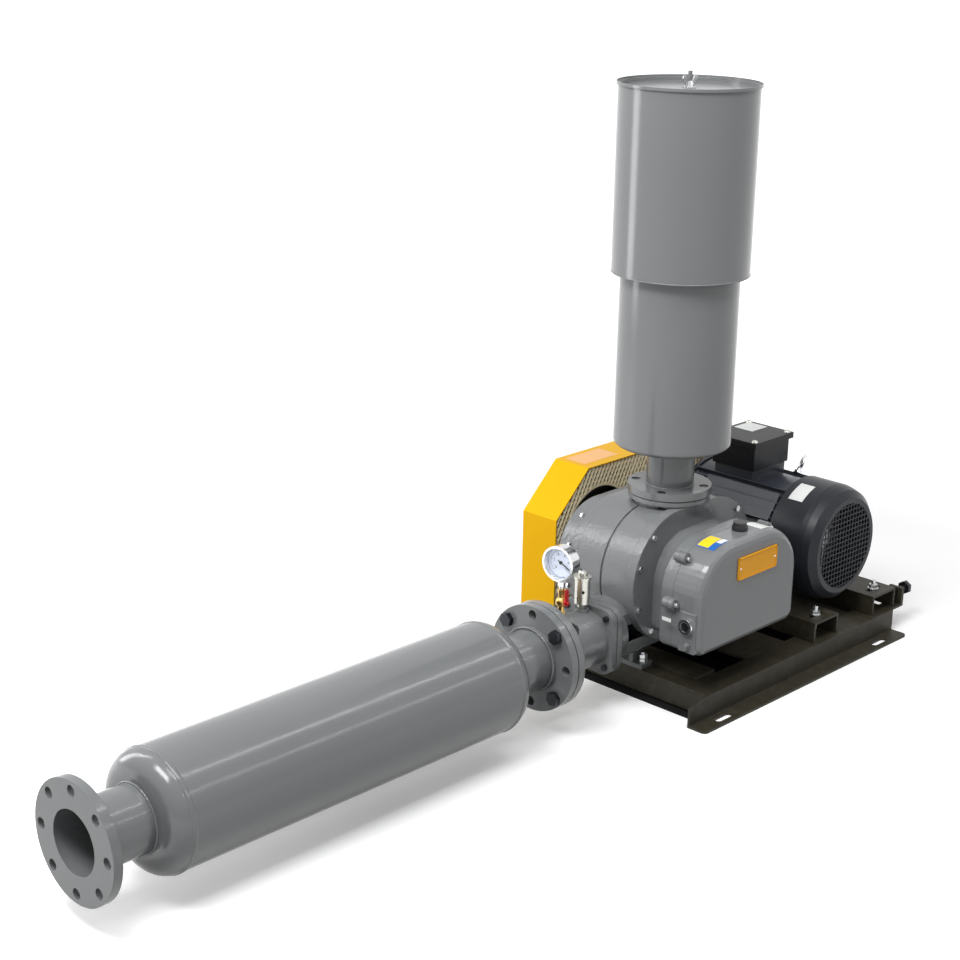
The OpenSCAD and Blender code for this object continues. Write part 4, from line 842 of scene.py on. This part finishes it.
class BLOWER_OT_stage(Operator):
    """Set the floor, the lights and the camera"""
    bl_idname = "blower.stage"
    bl_label = "Set the Stage"

    def execute(self, context):
        scene = context.scene
        scene.view_settings.view_transform = "Standard"
        self.floor()
        self.lights(scene)
        lens = bpy.data.cameras.new("camera")
        lens.sensor_width = SENSOR
        lens.lens = FOCAL_PIXELS * SENSOR / FRAME_PIXELS
        lens.clip_end = 100.0
        camera = bpy.data.objects.new("camera", lens)
        turn = camera_turn(CAMERA_AZIMUTH, CAMERA_ELEVATION, CAMERA_ROLL)
        camera.matrix_world = Matrix.Translation(CAMERA_AT) @ turn.to_4x4()
        scene.collection.objects.link(camera)
        scene.camera = camera
        return {"FINISHED"}

    def floor(self):
        """A wide pale floor. What the camera, gloss and glass see of it whitens with the distance, except
        under the base, where a dark painted shade stands in for the base's shadow.
        """
        material, tree, shader, where = new_material("floor_white")
        link = tree.links.new
        seen = self.seen(tree)
        tone = blend_colours(tree, seen, FLOOR_LIT, FLOOR_SEEN)
        # Painted shade: the floor between the base's beams is painted near black in place of their shadow
        under = self.painted_shade_under_base(tree, where)
        link(blend_colours(tree, under, tone, FLOOR_PAINTED_SHADE), shader.inputs["Base Color"])
        shader.inputs["Roughness"].default_value = 0.9
        shader.inputs["Specular IOR Level"].default_value = 0.1
        distance = tree.nodes.new("ShaderNodeVectorMath")
        distance.operation = "LENGTH"
        link(where, distance.inputs[0])
        veil = arithmetic(tree, "MULTIPLY", remap(tree, distance.outputs["Value"], *VEIL, *VEIL_REACH), seen)
        # The whitening glow is left off the painted shade under the base
        bare = arithmetic(tree, "MULTIPLY", veil, remap(tree, under, 1.0, 0.0, 0.0, 1.0))
        link(bare, shader.inputs["Emission Strength"])
        shader.inputs["Emission Color"].default_value = (1, 1, 1, 1)
        mesh = bpy.data.meshes.new("floor")
        corners = [(x * FLOOR_HALF, y * FLOOR_HALF, 0) for x, y in ((-1, -1), (1, -1), (1, 1), (-1, 1))]
        mesh.from_pydata(corners, [], [(0, 1, 2, 3)])
        mesh.materials.append(material)
        floor = bpy.data.objects.new("floor", mesh)
        bpy.context.scene.collection.objects.link(floor)

    def painted_shade_under_base(self, tree, where):
        """One where the floor lies between the base's two beams and a dark painted shade stands in for their
        shadow, and nought elsewhere.
        """
        split = tree.nodes.new("ShaderNodeSeparateXYZ")
        tree.links.new(where, split.inputs[0])
        lo, hi = low("base_front_beam"), high("base_rear_beam")
        within = []
        for axis, first, last in (("X", lo[0], hi[0]), ("Y", lo[1], hi[1])):
            near = tree.nodes.new("ShaderNodeMath")
            near.operation = "COMPARE"
            near.inputs[1].default_value = (first + last) / 2
            near.inputs[2].default_value = (last - first) / 2 - FLANGE_INSET
            tree.links.new(split.outputs[axis], near.inputs[0])
            within.append(near.outputs["Value"])
        return arithmetic(tree, "MULTIPLY", *within)

    def seen(self, tree):
        """One for a ray that shows the surround: from the camera, off gloss or through glass."""
        path = tree.nodes.new("ShaderNodeLightPath")
        value = path.outputs["Is Camera Ray"]
        for name in ("Is Glossy Ray", "Is Transmission Ray"):
            value = arithmetic(tree, "MAXIMUM", value, path.outputs[name])
        return value

    def lights(self, scene):
        """A world that is seen white and lights more from the left, and the lamps."""
        world = bpy.data.worlds.new("studio")
        scene.world = world
        world.use_nodes = True
        tree = world.node_tree
        tree.nodes.clear()
        out = tree.nodes.new("ShaderNodeOutputWorld")
        fill, white = (tree.nodes.new("ShaderNodeBackground") for _ in range(2))
        for ground in (fill, white):
            ground.inputs["Color"].default_value = (1, 1, 1, 1)
            ground.inputs["Strength"].default_value = 1.0
        aim = tree.nodes.new("ShaderNodeVectorMath")
        aim.operation = "DOT_PRODUCT"
        aim.inputs[1].default_value = BRIGHT_SIDE
        tree.links.new(tree.nodes.new("ShaderNodeTexCoord").outputs["Generated"], aim.inputs[0])
        tree.links.new(remap(tree, aim.outputs["Value"], *WORLD_FILL, -1.0, 1.0), fill.inputs["Strength"])
        mix = tree.nodes.new("ShaderNodeMixShader")
        tree.links.new(self.seen(tree), mix.inputs["Fac"])
        tree.links.new(fill.outputs["Background"], mix.inputs[1])
        tree.links.new(white.outputs["Background"], mix.inputs[2])
        tree.links.new(mix.outputs["Shader"], out.inputs["Surface"])
        for name, at, target, size, power in LAMPS:
            lamp = bpy.data.lights.new(name, "AREA")
            lamp.shape = "RECTANGLE"
            lamp.size, lamp.size_y = size
            lamp.energy = power
            holder = bpy.data.objects.new(name, lamp)
            out_axis = (Vector(at) - Vector(target)).normalized()
            if abs(out_axis.x) < 1e-6:
                side = Vector((1, 0, 0))
            else:
                side = Vector((0, 0, 1)).cross(out_axis).normalized()
            turn = Matrix((side, out_axis.cross(side), out_axis)).transposed()
            holder.matrix_world = Matrix.Translation(at) @ turn.to_4x4()
            scene.collection.objects.link(holder)


class VIEW3D_PT_blower(Panel):
    """Sizes, colours and steps of the blower package"""
    bl_label = "Blower"
    bl_space_type = "VIEW_3D"
    bl_region_type = "UI"
    bl_category = "Blower"

    def draw(self, context):
        for group in (context.scene.blower_paints, context.scene.blower_sizes):
            for key in group.__annotations__:
                self.layout.prop(group, key)
        for step in STEPS:
            self.layout.operator(step.bl_idname)


STEPS = (BLOWER_OT_paint_nodes, BLOWER_OT_welds, BLOWER_OT_gauge_face, BLOWER_OT_guard_mesh,
         BLOWER_OT_labels, BLOWER_OT_plate_rim, BLOWER_OT_lid_screws, BLOWER_OT_belts, BLOWER_OT_stage)
CLASSES = (BlowerPaints, BlowerSizes) + STEPS + (VIEW3D_PT_blower,)


def register():
    for cls in CLASSES:
        bpy.utils.register_class(cls)
    bpy.types.Scene.blower_paints = PointerProperty(type=BlowerPaints)
    bpy.types.Scene.blower_sizes = PointerProperty(type=BlowerSizes)


def unregister():
    del bpy.types.Scene.blower_sizes
    del bpy.types.Scene.blower_paints
    for cls in reversed(CLASSES):
        bpy.utils.unregister_class(cls)


def main():
    register()
    for step in STEPS:
        group, name = step.bl_idname.split(".")
        getattr(getattr(bpy.ops, group), name)()


if __name__ == "__main__":
    main()
